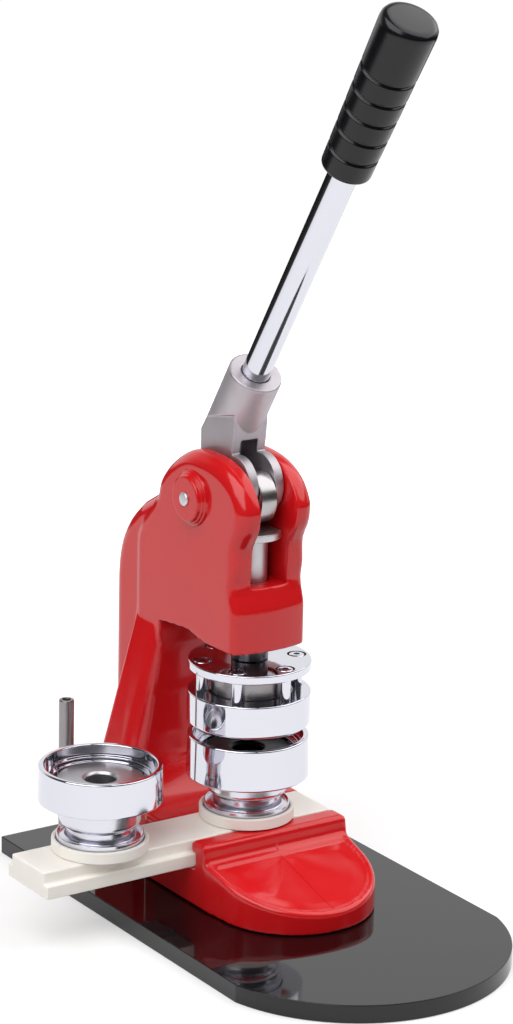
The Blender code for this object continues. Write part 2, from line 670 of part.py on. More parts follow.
def frame_pins(material):
    reach = BOSS_FACE + PIVOT_PIN_PROUD
    pin = moved(rod(PIVOT_PIN_RADIUS, -reach, reach, COARSE_SEGMENTS, PIVOT_PIN_PROUD / 2), ALONG_X)
    piece("pivot_pin", moved(pin, Matrix.Translation(PIVOT)), material)
    stop = rod(STOP_PIN_RADIUS, CHANNEL_FLOOR - STOP_PIN_SINK, CHANNEL_FLOOR + STOP_PIN_REACH,
               COARSE_SEGMENTS)
    piece("slide_stop_pin", stop, material)


def ram_bush(material):
    bore = RAM_RADIUS + RUNNING_GAP
    outer = SPRING_CAVITY_RADIUS - RUNNING_GAP
    low = HEAD_UNDERSIDE + SEAT_GAP
    profile = [(bore, BUSH_TOP), (outer, BUSH_TOP), (outer, low), (bore, low)]
    piece("ram_bush", turned(profile, MEDIUM_SEGMENTS), material)


# Lever

def lever_matrix():
    """From a frame with +Z up the lever, at the socket's top, to the world."""
    return Matrix.Translation(SOCKET_TOP) @ Matrix.Rotation(LEVER_LEAN, 4, "X")


def fork_outline():
    """Side view of the fork's flat part: lobe in front, hub round the pivot, neck up into the socket."""
    lobe = (PIVOT_Y + FORK_EYE_Y, PIVOT_Z + FORK_EYE_RISE)
    hub = (PIVOT_Y, PIVOT_Z)
    rear = [(PIVOT_Y + FORK_HUB_RADIUS, PIVOT_Z + 27 * MM), (PIVOT_Y + 2.4 * MM, PIVOT_Z + 34 * MM)]
    neck = [(PIVOT_Y + y * MM, PIVOT_Z + z * MM)
            for y, z in ((-10.6, 30.4), (-12, 28.8), (-13.4, 25.7), (-14.2, 21.9))]
    return [*arc(lobe, FORK_EYE_RADIUS, 80, 265, 14), *arc(hub, FORK_HUB_RADIUS, 270, 360, 6), *rear, *neck]


def fork_gap_cutter():
    """Room for the roller, open to the front."""
    room = ROLLER_RADIUS + 2 * SLIDE_GAP
    front = ROLLER_Y - 2 * ROLLER_RADIUS
    round_part = arc((ROLLER_Y, ROLLER_Z), room, -95, 55, 14)
    gap_top = SOCKET_TOP.z - SOCKET_LENGTH * math.cos(LEVER_LEAN) + FORK_EDGE
    below = ROLLER_Z - 2 * ROLLER_RADIUS
    outline = [(front, below), (round_part[0][0], below), *round_part, (round_part[-1][0], gap_top),
               (front, gap_top)]
    return slab(outline, FORK_GAP / 2)


def fork_flat_cutter(side):
    """Takes the round off one side of the socket, below a sloping line."""
    flat = FORK_WIDTH / 2 + 0.3 * SLIDE_GAP
    depth = SOCKET_RADIUS - flat
    reach = 2 * SOCKET_LENGTH
    middle = PIVOT_Z + FORK_FLAT_RISE
    outline = [(PIVOT_Y - reach, PIVOT_Z), (PIVOT_Y + reach, PIVOT_Z),
               (PIVOT_Y + reach, middle - FORK_FLAT_SLOPE * reach),
               (PIVOT_Y - reach, middle + FORK_FLAT_SLOPE * reach)]
    return shifted(slab(outline, depth), side * (flat + depth))


def lever_fork(material, axis):
    shape = lever_matrix()
    socket = turned([(0, 0), (SOCKET_RADIUS - FORK_EDGE, 0), (SOCKET_RADIUS, -FORK_EDGE),
                     (SOCKET_RADIUS, -SOCKET_LENGTH), (0, -SOCKET_LENGTH)], MEDIUM_SEGMENTS)
    fork = piece("lever_fork", moved(socket, shape), material, axis)
    cut(fork, together([fork_flat_cutter(side) for side in (-1, 1)]))
    join(fork, slab(fork_outline(), FORK_WIDTH / 2, FORK_EDGE, 1))
    cut(fork, fork_gap_cutter())
    bore = rod(ROD_RADIUS + RUNNING_GAP, -SOCKET_BORE_DEPTH, FORK_EDGE, MEDIUM_SEGMENTS)
    cut(fork, moved(bore, shape))
    holes = []
    for centre, radius in ((PIVOT, PIVOT_PIN_RADIUS), (ROLLER_AXIS, AXLE_RADIUS)):
        hole = moved(rod(radius + RUNNING_GAP, -FORK_WIDTH, FORK_WIDTH, COARSE_SEGMENTS), ALONG_X)
        holes.append(moved(hole, Matrix.Translation(centre)))
    cut(fork, together(holes))


def lever_rod(material, axis):
    low = SEAT_GAP - SOCKET_BORE_DEPTH
    high = GRIP_START + GRIP_BORE_DEPTH - SEAT_GAP
    piece("lever_rod", moved(rod(ROD_RADIUS, low, high, MEDIUM_SEGMENTS), lever_matrix()), material, axis)


def grip_profile():
    """Tapered grip with ring grooves in its lower part, bored from below."""
    end = GRIP_START + GRIP_LENGTH
    bore = ROD_RADIUS + RUNNING_GAP

    def radius(height):
        return GRIP_LOW_RADIUS + (GRIP_HIGH_RADIUS - GRIP_LOW_RADIUS) * (height - GRIP_START) / GRIP_LENGTH

    shoulder = (radius(end) - GRIP_END_ROUND, end - GRIP_END_ROUND)
    points = [(0, end), *reversed(arc(shoulder, GRIP_END_ROUND, 0, 90, 4))]
    for groove in reversed(range(GRIP_GROOVES)):
        low = GRIP_START + GRIP_GROOVE_START + groove * GRIP_GROOVE_PITCH
        high = low + GRIP_GROOVE_WIDTH
        depth = radius(low) - GRIP_GROOVE_DEPTH
        points += [(radius(high), high), (depth, high - GRIP_GROOVE_DEPTH / 2),
                   (depth, low + GRIP_GROOVE_DEPTH / 2), (radius(low), low)]
    points += [(radius(GRIP_START), GRIP_START + GRIP_GROOVE_DEPTH),
               (radius(GRIP_START) - GRIP_GROOVE_DEPTH, GRIP_START),
               (bore, GRIP_START), (bore, GRIP_START + GRIP_BORE_DEPTH), (0, GRIP_START + GRIP_BORE_DEPTH)]
    return points


def lever_grip(material, axis):
    piece("lever_grip", moved(turned(grip_profile(), MEDIUM_SEGMENTS), lever_matrix()), material, axis)


def roller_parts(material, lever_axis, roller_axis):
    place = Matrix.Translation(ROLLER_AXIS) @ ALONG_X
    axle = rod(AXLE_RADIUS, -FORK_WIDTH / 2, FORK_WIDTH / 2, COARSE_SEGMENTS)
    piece("roller_axle", moved(axle, place), material, lever_axis)
    half = ROLLER_WIDTH / 2
    bore = AXLE_RADIUS + RUNNING_GAP
    rim = ROLLER_RADIUS - ROLLER_EDGE
    profile = [(bore, half), (rim, half), (ROLLER_RADIUS, half - ROLLER_EDGE),
               (ROLLER_RADIUS, ROLLER_EDGE - half), (rim, -half), (bore, -half)]
    piece("cam_roller", moved(turned(profile, FINE_SEGMENTS), place), material, roller_axis)


# Ram and upper die

def ram_spindle(material, axis):
    """Ram with a flat-sided thrust head that the slot keeps from turning."""
    hole = PUNCH_SCREW_RADIUS + RUNNING_GAP
    hole_top = RAM_BOTTOM + PUNCH_SCREW_REACH + SEAT_GAP
    shoulder = RAM_BOTTOM + RAM_SHANK
    groove = STEM_RADIUS - STEM_GROOVE
    low, high = STOP_RING_BOTTOM - SEAT_GAP, STOP_RING_TOP + SEAT_GAP
    under = THRUST_TOP - THRUST_THICKNESS
    edge = THRUST_RADIUS - THRUST_EDGE
    profile = [(0, THRUST_TOP), (edge, THRUST_TOP), (THRUST_RADIUS, THRUST_TOP - THRUST_EDGE),
               (THRUST_RADIUS, under + THRUST_EDGE), (edge, under), (STEM_RADIUS, under),
               (STEM_RADIUS, high), (groove, high), (groove, low), (STEM_RADIUS, low),
               (STEM_RADIUS, shoulder), (RAM_RADIUS, shoulder), (RAM_RADIUS, RAM_BOTTOM),
               (hole, RAM_BOTTOM), (hole, hole_top), (0, hole_top)]
    ram = piece("ram_spindle", turned(profile, MEDIUM_SEGMENTS), material, axis)
    flat = SLOT_HALF - SLIDE_GAP
    flats = []
    for side in (-1, 1):
        near, far = sorted((side * flat, side * 2 * THRUST_RADIUS))
        plan = [(near, -THRUST_RADIUS * 2), (far, -THRUST_RADIUS * 2), (far, THRUST_RADIUS * 2),
                (near, THRUST_RADIUS * 2)]
        flats.append(upright(plan, under - THRUST_THICKNESS, THRUST_TOP + THRUST_THICKNESS))
    cut(ram, together(flats))


def ram_fittings(material, axis):
    bore = STEM_RADIUS - STEM_GROOVE + RUNNING_GAP
    ring = [(bore, STOP_RING_TOP), (STOP_RING_RADIUS, STOP_RING_TOP), (STOP_RING_RADIUS, STOP_RING_BOTTOM),
            (bore, STOP_RING_BOTTOM)]
    piece("ram_stop_ring", turned(ring, MEDIUM_SEGMENTS), material, axis)
    spring = coil(RETURN_SPRING_RADIUS, RETURN_SPRING_WIRE, BUSH_TOP + SEAT_GAP, STOP_RING_BOTTOM - SEAT_GAP,
                  RETURN_SPRING_TURNS)
    piece("return_spring", spring, material, axis)


def shoulder_spots():
    turns = [SHOULDER_FIRST_ANGLE + 2 * math.pi * i / SHOULDER_SCREWS for i in range(SHOULDER_SCREWS)]
    return [(SHOULDER_CIRCLE_RADIUS * math.cos(a), SHOULDER_CIRCLE_RADIUS * math.sin(a)) for a in turns]


def die_plate(material, axis):
    hole = PUNCH_SCREW_RADIUS + RUNNING_GAP
    low, high = DIE_PLATE_BOTTOM, DIE_PLATE_TOP
    rim = DIE_RADIUS - THRUST_EDGE
    profile = [(hole, high), (rim, high), (DIE_RADIUS, high - THRUST_EDGE), (DIE_RADIUS, low + THRUST_EDGE),
               (rim, low), (hole, low)]
    plate = piece("die_plate", turned(profile, FINE_SEGMENTS), material, axis)
    shank = SHOULDER_RADIUS + SLIDE_GAP
    sink = SHOULDER_HEAD_RADIUS + SLIDE_GAP
    floor = high - SHOULDER_SINK
    counterbore = [(0, high + SEAT_HEIGHT), (sink, high + SEAT_HEIGHT), (sink, floor), (shank, floor),
                   (shank, low - SEAT_HEIGHT), (0, low - SEAT_HEIGHT)]
    cut(plate, together([shifted(turned(counterbore, COARSE_SEGMENTS), x, y) for x, y in shoulder_spots()]))


def upper_punch(material, axis):
    sink = PUNCH_SCREW_HEAD_RADIUS + SLIDE_GAP
    sink_top = PUNCH_BOTTOM + PUNCH_SCREW_HEAD_HEIGHT + 2 * SEAT_GAP
    hole = PUNCH_SCREW_RADIUS + RUNNING_GAP
    profile = [(hole, PUNCH_TOP), (PUNCH_RADIUS, PUNCH_TOP), (PUNCH_RADIUS, PUNCH_BOTTOM + PUNCH_EDGE),
               (PUNCH_RADIUS - PUNCH_EDGE, PUNCH_BOTTOM), (sink, PUNCH_BOTTOM), (sink, sink_top),
               (hole, sink_top)]
    piece("upper_punch", turned(profile, FINE_SEGMENTS), material, axis)


def punch_screw(material, axis):
    low = PUNCH_BOTTOM + SEAT_GAP
    seat = low + PUNCH_SCREW_HEAD_HEIGHT
    high = RAM_BOTTOM + PUNCH_SCREW_REACH
    profile = [(0, high), (PUNCH_SCREW_RADIUS, high), (PUNCH_SCREW_RADIUS, seat),
               (PUNCH_SCREW_HEAD_RADIUS, seat), (PUNCH_SCREW_HEAD_RADIUS, low), (0, low)]
    piece("punch_screw", turned(profile, COARSE_SEGMENTS), material, axis)


def upper_ring(material, axis):
    """Ring that hangs below the die plate on the shoulder screws."""
    bore = RING_BORE
    recess = DIE_RADIUS - RING_RECESS_WALL
    low = RING_BOTTOM
    profile = [(bore, RING_TOP), (DIE_RADIUS - DIE_EDGE, RING_TOP), (DIE_RADIUS, RING_TOP - DIE_EDGE),
               (DIE_RADIUS, low + RING_CHAMFER), (DIE_RADIUS - RING_CHAMFER, low), (recess, low),
               (recess, low + RING_RECESS), (bore, low + RING_RECESS)]
    ring = piece("upper_ring", turned(profile, FINE_SEGMENTS), material, axis)
    thread = SHOULDER_RADIUS + RUNNING_GAP
    bite = RING_TOP - SHOULDER_BITE - SEAT_GAP
    holes = [shifted(rod(thread, bite, DIE_PLATE_BOTTOM, COARSE_SEGMENTS), x, y) for x, y in shoulder_spots()]
    cut(ring, together(holes))


def shoulder_screws(material, axis):
    seat = DIE_PLATE_TOP - SHOULDER_SINK + SEAT_GAP
    high = seat + SHOULDER_HEAD_HEIGHT
    low = RING_TOP - SHOULDER_BITE
    profile = [(0, high), (SHOULDER_HEAD_RADIUS, high), (SHOULDER_HEAD_RADIUS, seat), (SHOULDER_RADIUS, seat),
               (SHOULDER_RADIUS, low), (0, low)]
    for number, (x, y) in enumerate(shoulder_spots(), 1):
        piece(f"shoulder_screw_{number}", shifted(turned(profile, COARSE_SEGMENTS), x, y), material, axis)


# Slide and lower dies

def slide_bar(material, axis):
    flange, half = BAR_FLANGE_WIDTH / 2, BAR_WIDTH / 2
    outline = [(-flange, BAR_BOTTOM), (flange, BAR_BOTTOM), (flange, FLANGE_TOP), (half, FLANGE_TOP),
               (half, BAR_TOP - BAR_EDGE), (half - BAR_EDGE, BAR_TOP), (BAR_EDGE - half, BAR_TOP),
               (-half, BAR_TOP - BAR_EDGE), (-half, FLANGE_TOP), (-flange, FLANGE_TOP)]
    length = STATION_PITCH + 2 * BAR_OVERHANG
    bar = piece("slide_bar", shifted(slab(outline, length / 2), -STATION_PITCH / 2), material, axis)
    floor = BAR_TOP - DIE_SCREW_BITE - SEAT_GAP
    holes = [shifted(rod(DIE_SCREW_RADIUS + RUNNING_GAP, floor, SEAT_TOP, COARSE_SEGMENTS), x)
             for x in STATIONS.values()]
    groove = STOP_PIN_RADIUS + SLIDE_GAP
    plan = arc((STATIONS["right"], 0), groove, -90, 90, 6) + arc((STATIONS["left"], 0), groove, 90, 270, 6)
    cut(bar, together([*holes, upright(plan, CHANNEL_FLOOR - SLIDE_GAP, BAR_BOTTOM + STOP_GROOVE_DEPTH)]))


def die_seat(side, material, axis):
    """Nylon collar that the die's flange stands in."""
    bore = FLANGE_RADIUS + SLIDE_GAP
    hole = DIE_SCREW_RADIUS + RUNNING_GAP
    floor = SEAT_BOTTOM + SEAT_FLOOR
    edge = SEAT_RADIUS - BAR_EDGE
    profile = [(hole, floor), (bore, floor), (bore, SEAT_TOP), (edge, SEAT_TOP),
               (SEAT_RADIUS, SEAT_TOP - BAR_EDGE), (SEAT_RADIUS, SEAT_BOTTOM), (hole, SEAT_BOTTOM)]
    piece(f"{side}_die_seat", shifted(turned(profile, MEDIUM_SEGMENTS), STATIONS[side]), material, axis)


def die_stem(side, material, axis):
    """Spool with a flared flange, a waist and the boss that carries the ring."""
    hole = DIE_SCREW_RADIUS + RUNNING_GAP
    pocket = ANVIL_HUB_RADIUS + 2 * SLIDE_GAP
    flare = STEM_BOTTOM + FLANGE_HEIGHT
    neck = flare + FLARE_HEIGHT
    profile = [(hole, POCKET_FLOOR), (pocket, POCKET_FLOOR), (pocket, BOSS_TOP), (BOSS_RING_RADIUS, BOSS_TOP),
               (BOSS_RING_RADIUS, BOSS_BOTTOM), (NECK_RADIUS, neck + NECK_HEIGHT), (NECK_RADIUS, neck),
               (FLANGE_RADIUS - DIE_EDGE, flare), (FLANGE_RADIUS, flare - DIE_EDGE),
               (FLANGE_RADIUS, STEM_BOTTOM), (hole, STEM_BOTTOM)]
    piece(f"{side}_die_stem", shifted(turned(profile, MEDIUM_SEGMENTS), STATIONS[side]), material, axis)


def die_ring(side, skirt, wall, material, axis):
    """Stepped cup that sits on the stem's boss."""
    low, high = WEB_BOTTOM - skirt, WEB_BOTTOM + wall
    cup = high - CUP_DEPTH
    step = cup - STEP_DEPTH
    skirt_bore = BOSS_RING_RADIUS + SLIDE_GAP
    web_bore = ANVIL_HUB_RADIUS + SLIDE_GAP
    profile = [(web_bore, WEB_TOP), (WELL_RADIUS, WEB_TOP), (WELL_RADIUS, step), (STEP_RADIUS, step),
               (STEP_RADIUS, cup), (CUP_RADIUS, cup), (CUP_RADIUS, high - DIE_EDGE),
               (CUP_RADIUS + DIE_EDGE, high), (DIE_RADIUS - DIE_EDGE, high), (DIE_RADIUS, high - DIE_EDGE),
               (DIE_RADIUS, low + DIE_EDGE), (DIE_RADIUS - DIE_EDGE, low), (skirt_bore, low),
               (skirt_bore, WEB_BOTTOM), (web_bore, WEB_BOTTOM)]
    piece(f"{side}_die_ring", shifted(turned(profile, FINE_SEGMENTS), STATIONS[side]), material, axis)


def die_anvil(side, material, axis):
    """Sprung disc in the cup, guided by its hub in the stem's pocket."""
    hub_bottom = ANVIL_BOTTOM - ANVIL_HUB_DEPTH
    profile = [(ANVIL_HOLE_RADIUS, ANVIL_TOP - DIE_EDGE), (ANVIL_HOLE_RADIUS + DIE_EDGE, ANVIL_TOP),
               (ANVIL_RADIUS - DIE_EDGE, ANVIL_TOP), (ANVIL_RADIUS, ANVIL_TOP - DIE_EDGE),
               (ANVIL_RADIUS, ANVIL_BOTTOM), (ANVIL_HUB_RADIUS, ANVIL_BOTTOM), (ANVIL_HUB_RADIUS, hub_bottom),
               (ANVIL_HOLE_RADIUS, hub_bottom)]
    piece(f"{side}_die_anvil", shifted(turned(profile, MEDIUM_SEGMENTS), STATIONS[side]), material, axis)


def die_fittings(side, material, axis):
    seat = POCKET_FLOOR + SEAT_GAP
    high = seat + DIE_SCREW_HEAD_HEIGHT
    low = BAR_TOP - DIE_SCREW_BITE
    profile = [(0, high), (DIE_SCREW_HEAD_RADIUS, high), (DIE_SCREW_HEAD_RADIUS, seat),
               (DIE_SCREW_RADIUS, seat), (DIE_SCREW_RADIUS, low), (0, low)]
    piece(f"{side}_die_screw", shifted(turned(profile, COARSE_SEGMENTS), STATIONS[side]), material, axis)
    spring = coil(DIE_SPRING_RADIUS, DIE_SPRING_WIRE, POCKET_FLOOR + SEAT_GAP,
                  ANVIL_BOTTOM - ANVIL_HUB_DEPTH - SEAT_GAP, DIE_SPRING_TURNS)
    piece(f"{side}_die_spring", shifted(spring, STATIONS[side]), material, axis)


def build():
    clear_scene()
    red = finish("red_paint", (0.77, 0.10, 0.10), 0.2, 0.0)
    black = finish("black_acrylic", (0.05, 0.05, 0.06), 0.08, 0.0)
    nylon = finish("nylon", (0.92, 0.90, 0.86), 0.45, 0.0)
    chrome = finish("chrome", (0.85, 0.86, 0.87), 0.05, 1.0)
    steel = finish("steel", (0.62, 0.61, 0.60), 0.3, 1.0)
    cast = finish("cast_fork", (0.60, 0.58, 0.59), 0.45, 1.0)
    rubber = finish("grip_plastic", (0.10, 0.10, 0.11), 0.35, 0.0)

    base_plate(black)
    base_screws(steel)
    rear_post(steel)
    frame_casting(red)
    frame_pins(steel)
    ram_bush(steel)

    lever_axis = axis_empty("lever_axis", PIVOT)
    roller_axis = axis_empty("roller_axis", ROLLER_AXIS)
    lever_fork(cast, lever_axis)
    lever_rod(chrome, lever_axis)
    lever_grip(rubber, lever_axis)
    roller_parts(steel, lever_axis, roller_axis)

    ram_axis = axis_empty("ram_axis", Vector((0.0, 0.0, RAM_BOTTOM)))
    ram_spindle(steel, ram_axis)
    ram_fittings(steel, ram_axis)
    die_plate(chrome, ram_axis)
    upper_punch(chrome, ram_axis)
    punch_screw(steel, ram_axis)
    upper_ring(chrome, ram_axis)
    shoulder_screws(chrome, ram_axis)

    slide_axis = axis_empty("slide_axis", Vector((0.0, 0.0, BAR_BOTTOM)))
    slide_bar(nylon, slide_axis)
    walls = {"left": (LEFT_SKIRT, LEFT_WALL), "right": (RIGHT_SKIRT, RIGHT_WALL)}
    for side, x in STATIONS.items():
        die_axis = axis_empty(f"{side}_die_axis", Vector((x, 0.0, SEAT_BOTTOM)))
        die_seat(side, nylon, die_axis)
        die_stem(side, chrome, die_axis)
        die_ring(side, *walls[side], chrome, die_axis)
        die_anvil(side, chrome, die_axis)
        die_fittings(side, steel, die_axis)


build()
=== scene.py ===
# Looks of the slide-die button badge press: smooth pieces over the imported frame, their finishes, camera and light.
# Lengths are in millimetres until they go into a mesh. +Z is up and the front faces -Y.

import math

import bpy
from mathutils import Matrix, Vector

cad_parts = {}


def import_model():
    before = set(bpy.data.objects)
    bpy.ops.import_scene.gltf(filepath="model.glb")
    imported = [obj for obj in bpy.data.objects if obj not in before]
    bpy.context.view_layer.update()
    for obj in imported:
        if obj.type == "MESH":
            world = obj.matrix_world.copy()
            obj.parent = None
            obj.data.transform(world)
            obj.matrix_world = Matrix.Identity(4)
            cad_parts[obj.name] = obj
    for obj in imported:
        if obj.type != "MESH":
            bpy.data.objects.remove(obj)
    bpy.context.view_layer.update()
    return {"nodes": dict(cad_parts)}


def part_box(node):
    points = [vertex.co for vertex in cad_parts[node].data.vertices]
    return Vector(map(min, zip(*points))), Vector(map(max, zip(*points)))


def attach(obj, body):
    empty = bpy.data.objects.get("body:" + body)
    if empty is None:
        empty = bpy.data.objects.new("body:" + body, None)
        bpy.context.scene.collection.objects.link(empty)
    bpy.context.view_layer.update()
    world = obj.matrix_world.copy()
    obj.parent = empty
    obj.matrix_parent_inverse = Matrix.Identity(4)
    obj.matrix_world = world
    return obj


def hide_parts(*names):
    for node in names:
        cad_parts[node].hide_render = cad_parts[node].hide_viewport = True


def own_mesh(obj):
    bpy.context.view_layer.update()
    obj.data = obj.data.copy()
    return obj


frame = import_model()

MM = 0.001
FINE_STEPS = 128
ACROSS = ((1, 0, 0), (0, 0, 1))  # axis and first direction of what is turned across the press
STATIONS = {"left": -74.3, "right": 0.0}

# Sizes shared by several pieces, as in the solids
CAST_BASE = 8.2
BURIED = 0.3  # where foot and column start, below the cut of the casting's underside
FOOT_CENTRE = (0, -34.8)
FOOT_RADIUS = 36.0
NECK_HALF = 28.0
LIP_FOOT = -23.8
LIP_FRONT = -22.3
LIP_TOP = 36.7
DISH_RADIUS = 33.0
DISH_DEPTH = 1.0
CLEAR = 46.0  # past the foot's sides and top, for what cuts it
CHANNEL_FLOOR = 25.6
BAR_BOTTOM = 25.9
FLANGE_TOP = 31.9
BAR_TOP = 37.0
COLUMN_TOP = 114.4
COLUMN_FILLET = 20.0
HEAD_HALF = 18.7
HEAD_EDGE = 6.5
SLOT_FLOOR = 144.0
SLOT_HALF = 9.05
PIVOT = Vector((0.0, 18.4, 177.6))
ROLLER = Vector((0.0, -1.2, 180.4))
SOCKET_TOP = Vector((0.0, 0.0, 233.8))
LEVER_LEAN = math.radians(32.0)
LEVER_UP = Vector((0.0, -math.sin(LEVER_LEAN), math.cos(LEVER_LEAN)))
DIE_RADIUS = 26.5
RAM_SHOULDER = 134.0


# Modelling by hand

def nothing_selected():
    bpy.ops.object.select_all(action="DESELECT")


def tidy_mesh():
    """Closes seams and turns all faces outwards, then leaves edit mode."""
    bpy.ops.mesh.select_all(action="SELECT")
    bpy.ops.mesh.remove_doubles(threshold=0.001 * MM)
    bpy.ops.mesh.normals_make_consistent(inside=False)
    bpy.ops.object.mode_set(mode="OBJECT")


def named(name):
    """The object that an operator has just made, under a name."""
    made = bpy.context.object
    made.name = name
    made.data.name = name
    return made


def finish_with(made, kind, **settings):
    """Adds a modifier and applies it."""
    bpy.context.view_layer.objects.active = made
    modifier = made.modifiers.new(kind.lower(), kind)
    for setting, value in settings.items():
        setattr(modifier, setting, value)
    bpy.ops.object.modifier_apply(modifier=modifier.name)
    return made


def joined(made, tool, solver="EXACT"):
    finish_with(made, "BOOLEAN", operation="UNION", solver=solver, object=tool)
    bpy.data.objects.remove(tool)


def carved(made, tool, solver="EXACT"):
    finish_with(made, "BOOLEAN", operation="DIFFERENCE", solver=solver, object=tool)
    bpy.data.objects.remove(tool)


def bevelled(made, width, segments, degrees):
    """Rounds the edges that turn by more than an angle."""
    return finish_with(made, "BEVEL", width=width * MM, segments=segments, limit_method="ANGLE",
                       angle_limit=math.radians(degrees))


def softened(made, voxel, rounds):
    """One skin over all that was joined, its edges melted as in a casting."""
    finish_with(made, "REMESH", mode="VOXEL", voxel_size=voxel * MM, adaptivity=0.0)
    finish_with(made, "SMOOTH", factor=0.5, iterations=rounds)


def smooth(made, degrees=35.0):
    """Smooth shading, except over edges that turn by more than an angle."""
    nothing_selected()
    made.select_set(True)
    bpy.context.view_layer.objects.active = made
    bpy.ops.object.shade_smooth_by_angle(angle=math.radians(degrees))
    return made


def skinned(name, rings):
    """A closed solid through rings of equally many points: a disc that is extruded ring by ring."""
    nothing_selected()
    count = len(rings[0])
    bpy.ops.mesh.primitive_circle_add(vertices=count, radius=1.0, fill_type="NGON")
    made = named(name)
    for vertex, point in zip(made.data.vertices, rings[0]):
        vertex.co = Vector(point) * MM
    for number, ring in enumerate(rings[1:], 1):
        bpy.ops.object.mode_set(mode="EDIT")
        bpy.ops.mesh.extrude_region()
        bpy.ops.object.mode_set(mode="OBJECT")
        for vertex, point in zip(made.data.vertices[number * count:], ring):
            vertex.co = Vector(point) * MM
    bpy.ops.object.mode_set(mode="EDIT")
    tidy_mesh()
    return made


def eased(profile, radius, steps=4):
    """The half section with its corners rounded; a third value in a point is its own radius."""
    closed = profile[0][0] > 0.0
    points = [Vector(point[:2]) for point in profile]
    radii = [point[2] if len(point) > 2 else radius for point in profile]
    rounded = []
    for i, here in enumerate(points):
        if not closed and i in (0, len(points) - 1):
            rounded.append(here)
            continue
        back = points[i - 1] - here
        on = points[(i + 1) % len(points)] - here
        reach = min(radii[i], 0.48 * back.length, 0.48 * on.length)
        start, end = here + back.normalized() * reach, here + on.normalized() * reach
        for k in range(steps + 1):
            t = k / steps
            rounded.append(start * (1 - t) ** 2 + here * 2 * t * (1 - t) + end * t ** 2)
    return rounded + rounded[:1] if closed else rounded


def mirrored(end):
    """A half section that is the same at both ends."""
    return [*end, *[(point[0], -point[1], *point[2:]) for point in reversed(end)]]


def turned(name, profile, ease=0.4, origin=(0.0, 0.0, 0.0), along=(0.0, 0.0, 1.0), out=(1.0, 0.0, 0.0),
           steps=FINE_STEPS):
    """A turned piece: its half section is drawn by extruding one vertex, then spun about its axis."""
    origin, along, out = Vector(origin), Vector(along), Vector(out)
    points = [(origin + out * radius + along * height) * MM for radius, height in eased(profile, ease)]
    nothing_selected()
    bpy.ops.mesh.primitive_plane_add(size=MM)
    made = named(name)
    bpy.ops.object.mode_set(mode="EDIT")
    bpy.ops.mesh.merge(type="CENTER")
    bpy.ops.transform.translate(value=points[0])
    for here, there in zip(points, points[1:]):
        bpy.ops.mesh.extrude_vertices_move(TRANSFORM_OT_translate={"value": there - here})
    bpy.ops.mesh.select_all(action="SELECT")
    bpy.ops.mesh.spin(steps=steps, angle=2 * math.pi, center=origin * MM, axis=along)
    tidy_mesh()
    return smooth(made)


# Outlines

def arc(centre, radius, start, end, steps):
    """Points of an arc in degrees, both ends included."""
    turns = [math.radians(start + (end - start) * i / steps) for i in range(steps + 1)]
    return [(centre[0] + radius * math.cos(a), centre[1] + radius * math.sin(a)) for a in turns]


def smooth_through(points, steps):
    """Points of a Catmull-Rom curve through the given ones."""
    ends = [points[0], *points, points[-1]]
    curve = []
    for a, b, c, d in zip(ends, ends[1:], ends[2:], ends[3:]):
        for i in range(steps):
            t = i / steps
            curve.append(tuple(
                0.5 * (2 * b[k] + (c[k] - a[k]) * t + (2 * a[k] - 5 * b[k] + 4 * c[k] - d[k]) * t ** 2
                       + (3 * b[k] - a[k] - 3 * c[k] + d[k]) * t ** 3) for k in (0, 1)))
    return [*curve, points[-1]]


def inset(outline, depths):
    """The outline moved inwards by a depth for each point; it runs anticlockwise."""
    moved = []
    befores, afters = [outline[-1], *outline[:-1]], [*outline[1:], outline[0]]
    for before, here, after, depth in zip(befores, outline, afters, depths):
        first = Vector((here[0] - before[0], here[1] - before[1])).normalized()
        second = Vector((after[0] - here[0], after[1] - here[1])).normalized()
        normal = Vector((-first.y - second.y, first.x + second.x)).normalized()
        reach = depth / max(normal.dot(Vector((-first.y, first.x))), 0.5)
        moved.append((here[0] + normal.x * reach, here[1] + normal.y * reach))
    return moved


def slab(name, outline, half_width, edge=0.0, steps=6, middle=0.0):
    """A plate across X with a (Y, Z) outline and rounded edges."""
    turns = [math.pi / 2 * i / steps for i in range(steps + 1)] if edge else [math.pi / 2]
    right = [(half_width - edge + edge * math.sin(a), inset(outline, [edge * (1 - math.cos(a))] * len(outline)))
             for a in turns]
    left = [(-x, loop) for x, loop in reversed(right)]
    return skinned(name, [[(middle + x, y, z) for y, z in loop] for x, loop in left + right])


def upright(name, outline, low, high):
    """A prism over a plan outline; low and high are heights or functions of Y."""
    def level(height, y):
        return height(y) if callable(height) else height
    return skinned(name, [[(x, y, level(height, y)) for x, y in outline] for height in (low, high)])


# Red casting

def slope(y):
    """Height of the foot's sloping top in front of the guide lip."""
    return 16.9 + 12.4 * (y + 70.8) / 47.0


def foot_block():
    """Foot with a round nose, swept in to a neck behind the bar's channel."""
    sweep = [(NECK_HALF + 9.1 * (1 + math.cos(math.pi * i / 12)) / 2, 22.3 + 13.0 * i / 12) for i in range(13)]
    right = [(37.1, LIP_FOOT), *sweep, (NECK_HALF, 62.0)]
    left = [(-x, y) for x, y in reversed(right)]
    foot = upright("foot", arc(FOOT_CENTRE, FOOT_RADIUS, 180, 360, 72) + right + left, BURIED, LIP_TOP)
    front = -79.8
    above = [(front, slope(front)), (LIP_FOOT, 29.3), (LIP_FRONT, LIP_TOP), (LIP_FRONT, CLEAR), (front, CLEAR)]
    carved(foot, slab("slope", above, CLEAR))
    return bevelled(foot, 1.8, 5, 40.0)


